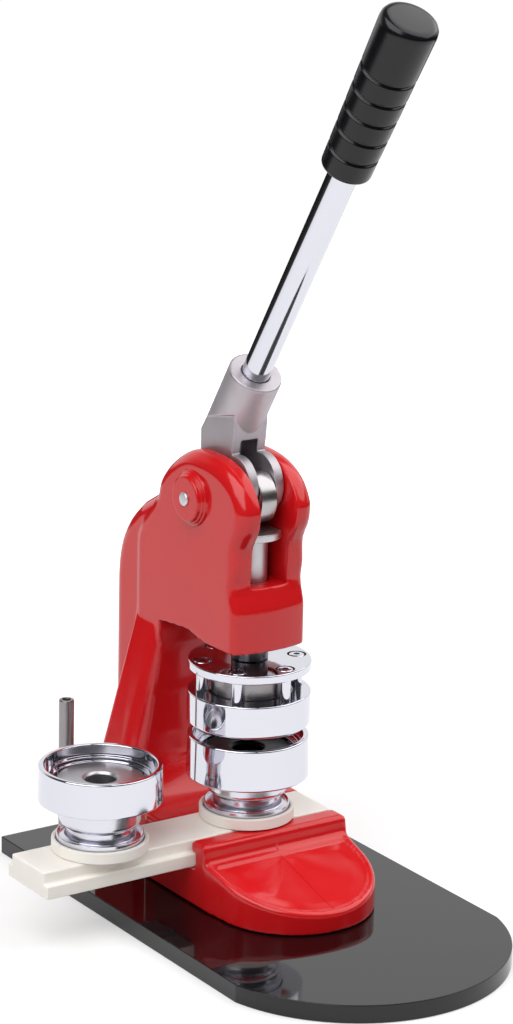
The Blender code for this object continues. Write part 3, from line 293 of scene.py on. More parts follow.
def column_ring(height):
    """The column's section at a height: it flares towards its foot, most in front, where its corners grow rounder."""
    share = max(COLUMN_TOP - height, 0.0) / (COLUMN_TOP - CAST_BASE)
    tuck = max(height - COLUMN_TOP, 0.0)
    fore, aft = (18.61 - tuck + min(share * flare, 17.4) for flare in (25.0, 26.0))
    below = min(max(LIP_TOP + COLUMN_FILLET - height, 0.0), COLUMN_FILLET)
    front = 23.0 + math.sqrt(COLUMN_FILLET ** 2 - below ** 2) + tuck
    back = 62.7 - tuck + share * 6.5
    corner = 4.5 + 8.0 * share - 0.5 * tuck
    rear_corner = 2.0
    outline = [*arc((fore - corner, front + corner), corner, 270, 360, 16),
               *arc((aft - rear_corner, back - rear_corner), rear_corner, 0, 90, 6)]
    outline += [(-x, y) for x, y in reversed(outline)]
    return [(x, y, height) for x, y in outline]


def column():
    """Column that runs down into the foot in a fillet and up into the head."""
    fillet = [LIP_TOP + COLUMN_FILLET * (1 - math.cos(math.pi / 2 * i / 16)) for i in range(17)]
    return skinned("column", [column_ring(z) for z in (BURIED, *fillet, COLUMN_TOP, COLUMN_TOP + 6.0)])


def spine():
    """Rounded back of the column, which leads up over the head's rear; its points are measured from the pivot."""
    rear = [(65.2, -49.6), (64.1, -40.1), (61, -30.8), (54.8, -21.6), (45.4, -13), (25, -1)]
    placed = [(PIVOT.y + y, PIVOT.z + z) for y, z in rear]
    curve = [*smooth_through(placed[:-1], 6), placed[-1]]
    inner = [(37.0, 154.5), (50.0, COLUMN_TOP)]
    return slab("spine", [(50.0, -7.7), (curve[0][0], -7.7), *curve, *inner], 17.6, 8.0, 8)


def head():
    """Head: a round knuckle over a block whose front is bowed and whose corners are tighter; the slot is cut later."""
    knuckle = [(46.8, -31), (45.8, -25), (42, -18), (36, -11.5), (31, -5.5), (28.1, 2.5), (19.6, 11.5), (6.6, 19),
               (-6.4, 20.2), (-20.4, 18.3), (-31.4, 12.5), (-37.7, 3.5), (-38.2, -3), (-37, -8), (-34.4, -12.5),
               (-32.7, -16.5)]
    top = [(PIVOT.y + y, PIVOT.z + z) for y, z in knuckle]
    round_part = smooth_through([(65.2, 123.0), *top, (-13.8, 153.0)], 8)
    block = [(-13.8, 150.0), (-13.8, 147.0), (-14.1, 145.0), (-15.2, 141.5), (-16.4, 137.8), (-17.2, 135.0),
             (-17.4, 133.0), (-17.4, 126.0), (-17.4, 104.0)]
    outline = [(65.2, 104.0), *round_part, *block]

    def below(y, z, start, length):
        """Runs from 0 to 1 over a length down the front."""
        return min(max((start - z) / length, 0.0), 1.0) if y < 0.0 else 0.0

    def rounding(x, radius):
        """How far the outline draws in at x for an edge of that radius."""
        over = max(abs(x) - HEAD_HALF + radius, 0.0)
        return radius - math.sqrt(max(radius ** 2 - over ** 2, 0.0))

    def ring(x):
        loop = inset(outline, [rounding(x, HEAD_EDGE - 3.7 * below(y, z, 170.0, 28.0)) for y, z in outline])
        return [(x, y + below(y, z, 152.0, 10.0) * x ** 2 / 110.0, z) for y, z in loop]

    edge = [HEAD_HALF - HEAD_EDGE * (1 - math.sin(math.pi / 2 * i / 12)) for i in range(13)]
    right = [3.0, 6.0, 9.0, *edge]
    return skinned("head", [ring(x) for x in (*[-x for x in reversed(right)], 0.0, *right)])


def pivot_boss(side):
    """Stepped round boss for the pivot pin."""
    profile = [(0, 22.5), (9.9, 22.5, 0.9), (10.3, 20.9, 0.4), (11.0, 20.7, 0.5), (11.2, 19.9, 0.3), (11.9, 19.7, 0.6),
               (12.4, 18.4, 0.3), (12.4, 13.0), (0, 13.0)]
    return turned("boss", profile, 0.1, PIVOT, (side, 0, 0), (0, 0, 1))


def dish_wave(x, y):
    """Shallow waves that the mould left in the dish: they fan out from the lip, with a valley down the parting line."""
    apex, depth, full_reach, waves = -24.0, 0.4, 30.0, 5.0
    from_rim = (31.5 - math.hypot(x, y - FOOT_CENTRE[1])) / 5.0
    from_lip = (-28.0 - y) / 4.0
    inside = max(min(from_rim, from_lip, 1.0), 0.0)
    across = math.atan2(x, apex - y)
    return -depth * inside * math.hypot(x, y - apex) / full_reach * math.cos(waves * across)


def wave_dish(made):
    """Moves the floor of the dish by its waves."""
    for vertex in made.data.vertices:
        x, y, z = vertex.co / MM
        if abs(z - slope(y) + DISH_DEPTH) < 0.5:
            vertex.co.z += dish_wave(x, y) * MM


def parting_line():
    """Fine ridge that the halves of the mould leave down the middle of the foot."""
    lip, rim, root = -23.4, -66.5, 12.0
    crest = DISH_DEPTH - 0.15
    along_dish = [(y, slope(y) - crest + dish_wave(0.0, y)) for y in (-28.5, -32.0, -40.0, -55.0, -61.3, rim)]
    outline = [(lip, 31.0), (-26.0, slope(-26.0) - 0.2), *along_dish, (rim, root), (lip, root)]
    return slab("parting_line", outline, 0.28)


def slot_cut():
    """Slot between the cheeks, open to the front and top, with a rounded rear."""
    corner = 3.0
    outline = [(-SLOT_HALF, -43.2), (SLOT_HALF, -43.2), *arc((SLOT_HALF - corner, 30.0), corner, 0, 90, 8),
               *arc((corner - SLOT_HALF, 30.0), corner, 90, 180, 8)]
    return upright("slot", outline, SLOT_FLOOR, SOCKET_TOP.z)


def dish_cut():
    """Shallow dish in the foot's sloping top, within a rim."""
    outline = [*arc(FOOT_CENTRE, DISH_RADIUS, 180, 360, 72), (DISH_RADIUS, -26.8), (-DISH_RADIUS, -26.8)]
    return upright("dish", outline, lambda y: slope(y) - DISH_DEPTH, CLEAR)


def channel_cut():
    """T-shaped way for the bar, with a gap all round it."""
    flange, web, step = 16.3, 13.3, 32.2
    outline = [(-flange, CHANNEL_FLOOR), (flange, CHANNEL_FLOOR), (flange, step), (web, step), (web, CLEAR),
               (-web, CLEAR), (-web, step), (-flange, step)]
    return slab("channel", outline, CLEAR)


def underside_cut():
    """Room under the head, a little higher next to the column."""
    front, rear, low = -24.0, 42.9, 97.0
    roof = [(rear, 116.6), (32.0, 117.7), (22.0, 118.6), (18.5, 118.3), (15.0, 117.6), (11.0, 116.6), (6.0, 116.2)]
    return slab("underside", [(front, low), (rear, low), *roof, (front, 116.2)], 40.0)


def base_cut():
    """All that is below the casting's underside."""
    outline = [(-90.0, -20.0), (96.0, -20.0), (96.0, CAST_BASE), (-90.0, CAST_BASE)]
    return slab("base", outline, 67.0)


def ram_bore():
    """Way for the ram through the slot's floor, wider below for its bush and return spring."""
    profile = [(0, 147.0), (7.1, 147.0), (7.1, 142.1), (12.2, 142.1), (12.2, 110.0), (0, 110.0)]
    return turned("ram_bore", profile, 0.0, steps=96)


def pin_bore():
    """Hole for the pivot pin, narrower in the bosses, where the pin is turned down."""
    end = [(0, 26.0), (3.15, 26.0), (3.15, 19.2), (4.1, 19.2)]
    return turned("pin_hole", mirrored(end), 0.0, PIVOT, *ACROSS, 64)


def casting():
    """Foot, column, spine and knuckled head in one casting, its edges softened as sand and paint leave them."""
    made = foot_block()
    for solid in (column(), spine(), head()):
        joined(made, solid)
    for tool in (base_cut(), underside_cut(), dish_cut(), channel_cut(), slot_cut(), ram_bore()):
        carved(made, tool)
    softened(made, 0.6, 5)
    wave_dish(made)
    # What has to stay crisp comes after the softening
    for solid in (pivot_boss(-1), pivot_boss(1), parting_line()):
        joined(made, solid, "MANIFOLD")
    for tool in (slot_cut(), pin_bore()):
        carved(made, tool, "MANIFOLD")
    finish_with(made, "DECIMATE", ratio=0.36)
    made.name = made.data.name = "red_casting"
    return smooth(made, 42.0)


# Base

def plate():
    """Thick acrylic sheet: a disc cut across behind its nose and drawn out to the rear."""
    radius, thickness, centre, cut, length = 68.8, 7.9, -76.8, -92.45, 188.45
    nothing_selected()
    bpy.ops.mesh.primitive_cylinder_add(vertices=256, radius=radius * MM, depth=thickness * MM,
                                        location=(0, centre * MM, thickness / 2 * MM))
    made = named("acrylic_plate")
    bpy.ops.object.transform_apply(location=True)
    bpy.ops.object.mode_set(mode="EDIT")
    bpy.ops.mesh.select_all(action="SELECT")
    bpy.ops.mesh.bisect(plane_co=(0, cut * MM, 0), plane_no=(0, 1, 0), use_fill=True, clear_outer=True)
    bpy.ops.mesh.select_all(action="DESELECT")
    bpy.ops.object.mode_set(mode="OBJECT")
    for face in made.data.polygons:
        face.select = face.normal.y > 0.99
    bpy.ops.object.mode_set(mode="EDIT")
    bpy.ops.mesh.select_mode(type="FACE")
    bpy.ops.mesh.extrude_region_move(TRANSFORM_OT_translate={"value": (0, length * MM, 0)})
    bpy.ops.mesh.select_mode(type="VERT")
    tidy_mesh()
    return smooth(bevelled(made, 0.4, 3, 40.0))


# Lever

def fork():
    """Cast fork: a round socket with flats, a flat body with the roller's gap."""
    socket_radius = 11.6
    socket = [(0, 0), (socket_radius, 0, 0.8), (socket_radius, -40.0), (0, -40.0)]
    made = turned("fork", socket, 0.2, SOCKET_TOP, LEVER_UP, (1, 0, 0), 96)
    for side in (-1, 1):
        outline = [(-53.6, 177.6), (90.4, 177.6), (90.4, 196.4), (-53.6, 228.4)]
        carved(made, slab("flat", outline, 3.15, middle=side * socket_radius))
    lobe = arc((2.0, 185.7), 12.6, 80, 265, 40)
    hub = arc((PIVOT.y, PIVOT.z), 9.9, 270, 360, 20)
    rear = [(28.3, 204.6), (22.1, 213.4)]
    neck = [(2.6, 215.0), (2.9, 209.5), (3.5, 203.7), (4.2, 199.5)]
    joined(made, slab("fork_body", [*lobe, *hub, *rear, *neck], 8.45))
    carved(made, roller_gap())
    carved(made, turned("rod_bore", [(0, 0.6), (6.3, 0.6), (6.3, -25.0), (0, -25.0)], 0.0, SOCKET_TOP, LEVER_UP))
    for centre, radius in ((PIVOT, 4.1), (ROLLER, 3.7)):
        hole = [(0, 17.0), (radius, 17.0)]
        carved(made, turned("pin_hole", mirrored(hole), 0.0, centre, *ACROSS, 64))
    softened(made, 0.36, 4)
    made.name = made.data.name = "cast_fork"
    return smooth(made, 180.0)


def roller_gap():
    """Gap between the fork's arms, round the roller and open to the front."""
    front, low = -24.0, 157.6
    round_roller = arc((ROLLER.y, ROLLER.z), 12.4, -95, 35, 32)
    top = SOCKET_TOP.z - 36.0 * math.cos(LEVER_LEAN) + 0.6
    outline = [(front, low), (round_roller[0][0], low), *round_roller, (16.5, 190.0), (15.5, top), (front, top)]
    return slab("gap", outline, 4.3)


def lever_rod():
    profile = [(0, 174.3), (6.1, 174.3), (6.1, -24.7), (0, -24.7)]
    return turned("chrome_rod", profile, 0.5, SOCKET_TOP, LEVER_UP, steps=96)


def grip():
    """Moulded grip, tapered, with five ring grooves and a rounded end."""
    start, end, bore, bore_end = 112.6, 188.0, 6.3, 174.6
    first_groove, pitch = 9.1, 10.0

    def radius(height):
        return 10.5 + (12.15 - 10.5) * (height - start) / 75.7

    profile = [(0, end), (radius(end), end, 4.0)]
    for groove in reversed(range(5)):
        foot = start + first_groove + pitch * groove
        bottom = radius(foot) - 1.0
        profile += [(radius(foot + 1.9), foot + 1.9, 0.3), (bottom, foot + 1.5, 0.3), (bottom, foot + 0.7, 0.3),
                    (radius(foot), foot, 0.4)]
    profile += [(radius(start), start, 1.2), (bore, start, 0.3), (bore, bore_end), (0, bore_end)]
    return turned("ribbed_grip", profile, 0.3, SOCKET_TOP, LEVER_UP, steps=96)


def roller_axle():
    end = [(0, 8.45), (3.5, 8.45)]
    return turned("axle_bright", mirrored(end), 0.3, ROLLER, *ACROSS, 64)


def pivot_pin():
    """Pin across the head, turned down where it shows in the bosses."""
    end = [(0, 23.7), (2.6, 23.6, 0.4), (3.05, 23.1, 0.3), (3.05, 19.0), (3.9, 19.0)]
    return turned("pivot_pin_bright", mirrored(end), 0.1, PIVOT, *ACROSS, 64)


def roller():
    end = [(3.7, 4.0), (11.4, 4.0, 0.5)]
    return turned("steel_roller", mirrored(end), 0.3, ROLLER, *ACROSS)


# Ram and upper die

def ram():
    """Ground ram with a flat-sided thrust head; its thick lower end is dark, partly its own colour and partly painted
    shade under the head.
    """
    profile = [(0, 166.2), (12.6, 166.2, 0.6), (12.6, 163.0, 0.6), (6.7, 163.0), (6.7, 141.5, 0.1), (6.0, 141.5, 0.1),
               (6.0, 139.4, 0.1), (6.7, 139.4, 0.1), (6.7, RAM_SHOULDER), (7.9, RAM_SHOULDER), (7.9, 109.0),
               (3.2, 109.0), (3.2, 118.3), (0, 118.3)]
    made = turned("ground_ram", profile, 0.3)
    for side in (-1, 1):
        outline = [(-26.0, 161.0), (26.0, 161.0), (26.0, 169.0), (-26.0, 169.0)]
        carved(made, slab("flat", outline, 8.0, middle=side * 16.75))
    return smooth(bevelled(made, 0.25, 2, 50.0))


def screw_circle(radius=21.0, first=42.0, count=6):
    """Places of the shoulder screws round the ram."""
    turns = [math.radians(first + 360.0 * i / count) for i in range(count)]
    return [(radius * math.cos(a), radius * math.sin(a)) for a in turns]


def die_plate():
    """Disc under the ram, counterbored for the shoulder screws."""
    profile = [(3.2, 108.7), (DIE_RADIUS, 108.7, 0.6), (DIE_RADIUS, 104.9, 0.6), (3.2, 104.9)]
    made = turned("chrome_disc", profile, 0.2)
    sink = [(0, 112.0), (4.2, 112.0), (4.2, 106.7), (2.8, 106.7), (2.8, 102.0), (0, 102.0)]
    for x, y in screw_circle():
        carved(made, turned("sink", sink, 0.0, (x, y, 0), steps=64))
    return smooth(bevelled(made, 0.3, 2, 50.0))


def shoulder_screw(number, x, y):
    """Round-headed screw with a hexagon socket."""
    profile = [(0, 108.9), (3.4, 108.7, 0.6), (3.4, 107.0, 0.2), (2.5, 107.0, 0.2), (2.5, 88.9, 0.3), (0, 88.9)]
    made = turned(f"bright_screw_{number}", profile, 0.2, (x, y, 0), steps=64)
    key = [(x + px, y + py) for px, py in arc((0, 0), 1.5, 0, 300, 5)]
    carved(made, upright("key", key, 107.4, 110.0))
    return smooth(made)


def punch():
    profile = [(3.2, 104.6), (17.5, 104.6, 0.4), (17.5, 82.1, 1.2), (5.9, 82.1, 0.3), (5.9, 87.1), (3.2, 87.1)]
    return turned("chrome_punch", profile, 0.2)


def upper_ring():
    """Ring that hangs on the shoulder screws, with a step inside its lower edge."""
    profile = [(18.2, 94.9, 0.5), (DIE_RADIUS, 94.9, 0.7), (DIE_RADIUS, 81.2, 0.6), (25.0, 79.7, 0.6),
               (20.5, 79.7, 0.3), (20.5, 81.7, 0.3), (18.2, 81.7, 0.3)]
    made = turned("chrome_upper_ring", profile)
    hole = [(0, 100.0), (2.7, 100.0), (2.7, 88.6), (0, 88.6)]
    for x, y in screw_circle():
        carved(made, turned("thread", hole, 0.0, (x, y, 0), steps=48))
    return smooth(made)


# Slide and lower dies

def slide_bar():
    """T-shaped bar with a hole for each die's screw and a groove below for the stop pin."""
    flange, web, groove = 16.0, 13.0, 2.3
    outline = [(-flange, BAR_BOTTOM), (flange, BAR_BOTTOM), (flange, FLANGE_TOP), (web, FLANGE_TOP), (web, BAR_TOP),
               (-web, BAR_TOP), (-web, FLANGE_TOP), (-flange, FLANGE_TOP)]
    made = slab("nylon_bar", outline, 72.45, middle=STATIONS["left"] / 2)
    plan = arc((STATIONS["right"], 0), groove, -90, 90, 12) + arc((STATIONS["left"], 0), groove, 90, 270, 12)
    carved(made, upright("groove", plan, 25.0, 29.9))
    bevelled(made, 0.8, 4, 50.0)
    hole = [(0, 42.0), (3.0, 42.0), (3.0, 31.0), (0, 31.0)]
    for x in STATIONS.values():
        carved(made, turned("screw_hole", hole, 0.0, (x, 0, 0), steps=48))
    return smooth(made)


def die_seat(side):
    """Collar with a rim that the die's stem stands in."""
    profile = [(3.0, 39.8), (18.9, 39.8, 0.2), (18.9, 42.2, 0.5), (20.6, 42.2, 0.7), (20.6, 37.3, 0.2), (3.0, 37.3)]
    return turned(f"{side}_nylon_collar", profile, 0.2, (STATIONS[side], 0, 0))


def die_stem(side):
    """Spool between collar and cup, with the anvil's spring pocket in its top."""
    profile = [(3.0, 52.3), (11.0, 52.3), (11.0, 62.2), (17.3, 62.2, 0.4), (17.3, 50.2, 0.8), (16.4, 48.8, 0.5),
               (15.0, 48.2, 0.4), (14.8, 43.4, 0.8), (17.5, 42.8, 0.5), (18.0, 44.2, 0.2), (18.6, 44.2, 0.25),
               (18.6, 40.1, 0.3), (3.0, 40.1)]
    return turned(f"{side}_chrome_spool", profile, 0.2, (STATIONS[side], 0, 0))


def die_ring(side, low, high):
    """Stepped cup round the anvil, from a low to a high edge."""
    cup, step = high - 4.8, high - 6.4
    profile = [(10.7, 63.8), (20.0, 63.8, 0.2), (20.0, step, 0.4), (21.4, step, 0.2), (21.4, cup, 0.4),
               (23.7, cup, 0.2), (23.7, high, 0.8), (26.1, high, 0.8), (DIE_RADIUS, low, 0.8), (17.6, low, 0.3),
               (17.6, 62.5, 0.2), (10.7, 62.5)]
    return turned(f"{side}_chrome_cup", profile, 0.2, (STATIONS[side], 0, 0))


def die_anvil(side):
    """Sprung disc in the cup, with a hub and an eased hole."""
    profile = [(6.6, 67.2, 0.3), (7.6, 68.3, 0.3), (18.4, 68.3, 0.6), (18.4, 66.1, 0.2), (10.4, 66.1, 0.2),
               (10.4, 60.2, 0.3), (6.6, 60.2)]
    return turned(f"{side}_chrome_anvil", profile, 0.2, (STATIONS[side], 0, 0))


def post():
    """Steel post behind the left die, hollow at its top."""
    profile = [(0, 80.5), (1.7, 80.5, 0.2), (1.9, 83.5, 0.3), (3.3, 83.5, 0.6), (3.3, 2.9, 0.3), (0, 2.9)]
    return turned("steel_post", profile, 0.2, (-58.0, 55.0, 0), steps=64)


def coil_spring(name, node, middle, radius, wire, turns):
    """Helical spring between the CAD spring's seats, as one tube."""
    per_turn, sides = 36, 12
    low, high = (corner[2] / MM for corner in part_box(node))
    climb = (high - low - 2 * wire) / turns
    around = [2 * math.pi * k / sides for k in range(sides)]
    rings = []
    for i in range(round(turns * per_turn) + 1):
        turn = 2 * math.pi * i / per_turn
        height = low + wire + climb * i / per_turn
        reach = [(radius + wire * math.cos(a), height + wire * math.sin(a)) for a in around]
        rings.append([(middle + r * math.cos(turn), r * math.sin(turn), z) for r, z in reach])
    return smooth(skinned(name, rings), 60.0)


# Finishes

def hex_colour(code):
    """An sRGB hex value as linear RGBA."""
    channels = [int(code[i:i + 2], 16) / 255 for i in (1, 3, 5)]
    return (*[c / 12.92 if c <= 0.04045 else ((c + 0.055) / 1.055) ** 2.4 for c in channels], 1.0)


def add(tree, kind, inputs, **settings):
    """Adds a node; an input that is a socket is linked, any other is set."""
    node = tree.nodes.new("ShaderNode" + kind)
    for setting, value in settings.items():
        setattr(node, setting, value)
    for name, value in inputs.items():
        if isinstance(value, bpy.types.NodeSocket):
            tree.links.new(value, node.inputs[name])
        else:
            node.inputs[name].default_value = value
    return node


def blank(name):
    """A material without nodes, and its tree."""
    made = bpy.data.materials.new(name)
    made.use_nodes = True
    made.node_tree.nodes.clear()
    return made, made.node_tree


def per_metre(size_mm):
    """Noise scale that gives features of about that size."""
    return 1.0 / (size_mm * MM)


def surface(name, colours, roughness, cloud_mm, dents=(), more=None):
    """A finish in the piece's own coordinates: a soft cloud leads from the first colour and roughness to the second.
    Each dent has a size in mm, a noise detail, a strength and a depth in mm, and is laid over the one before. A pair of
    strengths is for faces that stand and faces that lie level."""
    made, tree = blank(name)
    place = add(tree, "TexCoord", {})
    cloud = add(tree, "TexNoise", {"Vector": place.outputs["Object"], "Scale": per_metre(cloud_mm), "Detail": 3.0})
    spread = add(tree, "MapRange", {"Value": cloud.outputs["Fac"], "From Min": 0.3, "From Max": 0.7,
                                    "To Min": roughness[0], "To Max": roughness[1]})
    inputs = {"Base Color": hex_colour(colours[0]), "Roughness": spread.outputs["Result"], **(more or {})}
    if len(colours) > 1:
        first, second = (hex_colour(code) for code in colours)
        tone = add(tree, "Mix", {"Factor": cloud.outputs["Fac"], "A": first, "B": second}, data_type="RGBA")
        inputs["Base Color"] = tone.outputs["Result"]
    under = {}
    for size_mm, detail, strength, depth in dents:
        noise = add(tree, "TexNoise", {"Vector": place.outputs["Object"], "Scale": per_metre(size_mm),
                                       "Detail": detail})
        if isinstance(strength, tuple):
            facing = add(tree, "SeparateXYZ", {"Vector": place.outputs["Normal"]})
            level = add(tree, "MapRange", {"Value": facing.outputs["Z"], "From Min": 0.7, "From Max": 0.95,
                                           "To Min": strength[0], "To Max": strength[1]})
            strength = level.outputs["Result"]
        bump = add(tree, "Bump", {"Height": noise.outputs["Fac"], "Strength": strength, "Distance": depth * MM,
                                  **under})
        under = {"Normal": bump.outputs["Normal"]}
    shader = add(tree, "BsdfPrincipled", {**inputs, **under})
    add(tree, "OutputMaterial", {"Surface": shader.outputs["BSDF"]})
    return made


def metal(name, colour, roughness, grain_mm, strength):
    """Bare or plated metal. Its tool marks are finer than a pixel, so they are drawn as coarse as they need to show."""
    return surface(name, [colour], roughness, 8.0, [(grain_mm, 3.0, strength, 0.03)], {"Metallic": 1.0})


def dress(made, material):
    """Gives a piece one material."""
    made.data.materials.clear()
    made.data.materials.append(material)
    return made


# Camera and studio

def camera():
    """Camera solved on the photograph: its axes in the world, its place in metres."""
    data = bpy.data.cameras.new("camera")
    data.sensor_width = 36.0
    data.lens = 116.14
    data.clip_end = 50.0
    made = bpy.data.objects.new("camera", data)
    right = (0.82778, -0.56065, 0.02148)
    up = (0.13684, 0.23888, 0.96138)
    back = (-0.54412, -0.79286, 0.27446)
    turn = Matrix((right, up, back)).transposed().to_4x4()
    made.matrix_world = Matrix.Translation((-0.75765, -1.10673, 0.55608)) @ turn
    bpy.context.collection.objects.link(made)
    bpy.context.scene.camera = made


def softbox(name, place, target, width, height, power):
    """Broad lamp turned to a target; lengths in metres, power in watts."""
    data = bpy.data.lights.new(name, "AREA")
    data.shape = "RECTANGLE"
    data.size = width
    data.size_y = height
    data.energy = power
    made = bpy.data.objects.new(name, data)
    made.location = place
    made.rotation_euler = (Vector(target) - Vector(place)).to_track_quat("-Z", "Y").to_euler()
    bpy.context.collection.objects.link(made)


def seen_by_eye(tree):
    """Two factors: 1 for what the camera sees straight on, and 1 for what it sees mirrored or through clear stuff."""
    rays = add(tree, "LightPath", {})
    indirect = add(tree, "Math", {0: rays.outputs["Is Glossy Ray"], 1: rays.outputs["Is Transmission Ray"]},
                   operation="MAXIMUM")
    return rays.outputs["Is Camera Ray"], indirect.outputs[0]


def floor():
    """Paper floor: white to the eye, in reflections a pale sheet round the press, and it keeps the shadow."""
    nothing_selected()
    bpy.ops.mesh.primitive_plane_add(size=16.0, location=(0, 3.0, -0.2 * MM))
    made = named("paper_floor")
    bpy.ops.object.transform_apply(location=True)
    paper, tree = blank("white_paper")
    straight, mirror = seen_by_eye(tree)
    place = add(tree, "TexCoord", {})
    away = add(tree, "VectorMath", {0: place.outputs["Object"]}, operation="LENGTH")
    open_floor = add(tree, "MapRange", {"Value": away.outputs["Value"], "From Min": 0.3, "From Max": 0.55,
                                        "To Min": 0.45, "To Max": 1.0})
    sheet = add(tree, "MapRange", {"Value": away.outputs["Value"], "From Min": 0.95, "From Max": 1.15,
                                   "To Min": 1.0, "To Max": 0.0})
    white_out = add(tree, "Math", {0: straight, 1: open_floor.outputs["Result"]}, operation="MULTIPLY")
    paled = add(tree, "Math", {0: mirror, 1: 0.45}, operation="MULTIPLY")
    glow = add(tree, "Math", {0: paled.outputs[0], 1: sheet.outputs["Result"], 2: white_out.outputs[0]},
               operation="MULTIPLY_ADD")
    shine = add(tree, "Emission", {"Color": (1, 1, 1, 1), "Strength": glow.outputs[0]})
    tone = add(tree, "Mix", {"Factor": sheet.outputs["Result"], "A": hex_colour("#3c3c3c"), "B": hex_colour("#c4c4c4")},
               data_type="RGBA")
    matt = add(tree, "BsdfDiffuse", {"Color": tone.outputs["Result"]})
    both = add(tree, "AddShader", {0: shine.outputs[0], 1: matt.outputs[0]})
    add(tree, "OutputMaterial", {"Surface": both.outputs[0]})
    dress(made, paper)


def world():
    """Dim room with a white sweep behind the press, which the metal and the paint mirror."""
    made = bpy.data.worlds.new("studio")
    bpy.context.scene.world = made
    made.use_nodes = True
    tree = made.node_tree
    tree.nodes.clear()
    dim, fill, away_from_camera = 0.06, 0.3, (0.566, 0.824, 0.0)
    place = add(tree, "TexCoord", {})
    behind = add(tree, "VectorMath", {0: place.outputs["Generated"], 1: away_from_camera}, operation="DOT_PRODUCT")
    height = add(tree, "SeparateXYZ", {"Vector": place.outputs["Generated"]})
    wide = add(tree, "MapRange", {"Value": behind.outputs["Value"], "From Min": 0.3, "From Max": 0.6,
                                  "To Min": 0.0, "To Max": 1.0})
    tall = add(tree, "MapRange", {"Value": height.outputs["Z"], "From Min": 0.45, "From Max": 0.7,
                                  "To Min": 1.0, "To Max": dim})
    sweep = add(tree, "Mix", {"Factor": wide.outputs["Result"], "A": dim, "B": tall.outputs["Result"]},
                data_type="FLOAT")
    straight, mirror = seen_by_eye(tree)
    level = add(tree, "Mix", {"Factor": mirror, "A": fill, "B": sweep.outputs["Result"]}, data_type="FLOAT")
    level = add(tree, "Mix", {"Factor": straight, "A": level.outputs["Result"], "B": 1.0}, data_type="FLOAT")
    back = add(tree, "Background", {"Color": (1, 1, 1, 1), "Strength": level.outputs["Result"]})
    add(tree, "OutputWorld", {"Surface": back.outputs["Background"]})


# Pieces on their bodies

def stands_for(made, node, body, material):
    """The piece takes the place of a CAD node, on its body; its broad faces stay flat in the shading."""
    finish_with(made, "WEIGHTED_NORMAL", keep_sharp=True)
    dress(made, material)
    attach(made, body)
    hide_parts(node)


# Gloss enamel, stoved on a casting: deep red, a faint orange peel, wavier where it lay level and pooled
red = surface("gloss_red_enamel", ["#c8161b", "#cf171b"], (0.12, 0.17), 22.0,
              [(17.0, 1.0, (0.2, 0.9), 0.5), (2.6, 1.0, 0.06, 0.03)], {"IOR": 1.5})
# Cast acrylic sheet, polished: black through and through, a clear mirror
acrylic = surface("polished_black_acrylic", ["#08080a"], (0.03, 0.06), 14.0, more={"IOR": 1.49})
# Natural nylon, machined: off-white and waxy, light goes a little way in; its grain is drawn coarse enough to show
white = surface("machined_natural_nylon", ["#f4eee5", "#f8f4ee"], (0.38, 0.5), 9.0, [(0.7, 3.0, 0.12, 0.05)],
                {"IOR": 1.53, "Subsurface Weight": 0.25, "Subsurface Radius": (1.0, 0.8, 0.6),
                 "Subsurface Scale": 1.5 * MM})
# Chrome plate, polished: a cool, sharp mirror; brushed on the spools, where its reflections run soft
chrome = metal("polished_chrome_plate", "#d8d8e1", (0.05, 0.09), 5.0, 0.02)
brushed = metal("brushed_chrome_plate", "#d8d8e1", (0.16, 0.22), 0.8, 0.03)
# Steel, turned: bright grey with soft streaks of light; finer and satin on the left anvil, dull as drawn on the post
steel = metal("turned_bright_steel", "#b4b1b2", (0.2, 0.28), 0.8, 0.02)
satin = metal("satin_turned_steel", "#c3c2c6", (0.3, 0.38), 0.6, 0.03)
drawn = metal("dull_drawn_steel", "#989394", (0.26, 0.34), 0.8, 0.03)
# Zinc plate: pale and even, with hardly a reflection
pale = metal("pale_zinc_plate", "#dddde1", (0.42, 0.5), 0.8, 0.03)
# Dark steel on the ram's shank, partly its own colour and partly painted shade under the head, and dark steel on the
# right anvil as painted shade: dark, with a weak sheen
dark = metal("dark_steel_and_painted_shade", "#727176", (0.24, 0.32), 0.8, 0.05)
# Painted shade: dark steel for the right anvil, which is like the left one but lies in shade
painted_shade_anvil_steel = metal("painted_shade_dark_steel", "#3c3c40", (0.3, 0.4), 0.8, 0.05)
# Cast steel, tumbled: light grey, matt, with a grain that shows
cast = metal("satin_cast_steel", "#bdb7bc", (0.46, 0.56), 1.1, 0.16)
# Soft PVC, injection moulded: near black, satin, its fine grain drawn coarse enough to show
pvc = surface("moulded_black_pvc", ["#101014"], (0.17, 0.24), 12.0, [(0.6, 3.0, 0.15, 0.04)], {"IOR": 1.43})

stands_for(plate(), "base_plate", "frame", acrylic)
stands_for(casting(), "frame_casting", "frame", red)
stands_for(pivot_pin(), "pivot_pin", "frame", pale)
stands_for(post(), "rear_post", "frame", drawn)

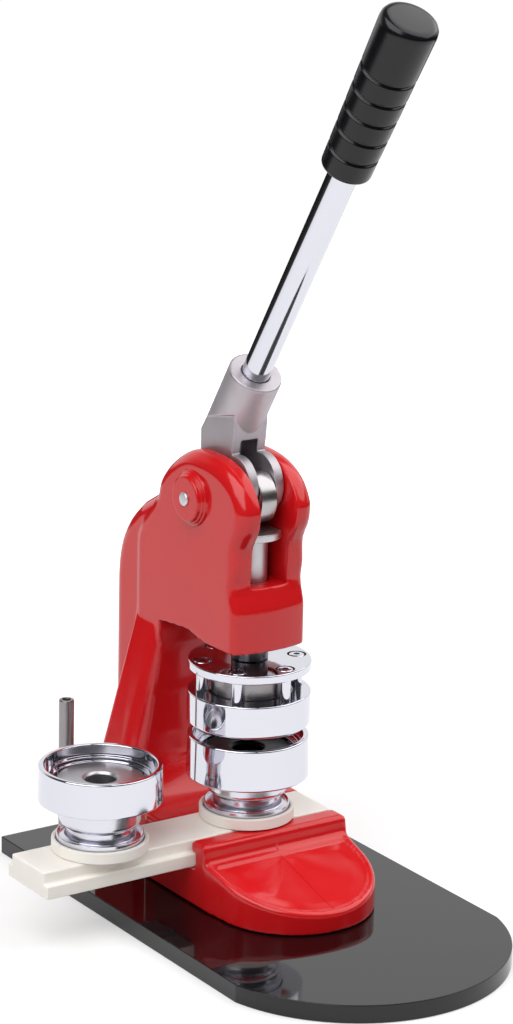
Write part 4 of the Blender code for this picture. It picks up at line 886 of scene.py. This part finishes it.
stands_for(fork(), "lever_fork", "lever", cast)
stands_for(lever_rod(), "lever_rod", "lever", chrome)
stands_for(grip(), "lever_grip", "lever", pvc)
stands_for(roller_axle(), "roller_axle", "lever", steel)
stands_for(roller(), "cam_roller", "roller", steel)

spindle = ram()
stands_for(spindle, "ram_spindle", "ram", pale)
# Below the shoulder the ram gets the dark steel: partly its own colour, partly painted shade under the head
spindle.data.materials.append(dark)
for face in spindle.data.polygons:
    face.material_index = int(face.center.z < (RAM_SHOULDER - 0.1) * MM)
stands_for(die_plate(), "die_plate", "ram", chrome)
stands_for(punch(), "upper_punch", "ram", drawn)
stands_for(upper_ring(), "upper_ring", "floating_ring", chrome)
for number, (x, y) in enumerate(screw_circle(), 1):
    stands_for(shoulder_screw(number, x, y), f"shoulder_screw_{number}", "floating_ring", chrome)

stands_for(slide_bar(), "slide_bar", "slide", white)
# Lower and upper edge of each cup, and its anvil's finish; the right anvil's dark steel is painted shade, the two
# anvils being alike
cups = {"left": (59.0, 74.4, satin), "right": (56.6, 75.0, painted_shade_anvil_steel)}
for side, (low, high, anvil_finish_and_shade) in cups.items():
    stands_for(die_seat(side), f"{side}_die_seat", "slide", white)
    stands_for(die_stem(side), f"{side}_die_stem", "slide", brushed)
    stands_for(die_ring(side, low, high), f"{side}_die_ring", "slide", chrome)
    stands_for(die_anvil(side), f"{side}_die_anvil", f"{side}_anvil", anvil_finish_and_shade)

# Node, body, joint that presses it, place along X, radius, wire radius, turns, end that stays (0 low, 1 high), travel
springs = [(f"{side}_die_spring", "slide", f"{side}_anvil_press", x, 9.0, 0.5, 3.0, 0, 2.0 * MM)
           for side, x in STATIONS.items()]
springs.append(("return_spring", "ram", "ram_slide", 0.0, 9.8, 0.6, 3.5, 1, 12.45 * MM))
for node, body, joint, middle, radius, wire, turns, held, travel in springs:
    made = coil_spring(f"{node}_coil", node, middle, radius, wire, turns)
    stands_for(made, node, body, steel)
    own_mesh(made)

# What stays as CAD is hidden in the press
for node in frame["nodes"].values():
    if not node.hide_render:
        dress(node, steel)

camera()
floor()
world()
softbox("right_softbox", (1.0, -0.35, 1.5), (0, 0, 0.15), 2.0, 2.0, 26.0)
softbox("left_softbox", (-1.05, -0.35, 1.45), (0, 0, 0.15), 1.8, 1.8, 29.0)
bpy.context.scene.view_settings.view_transform = "Standard"
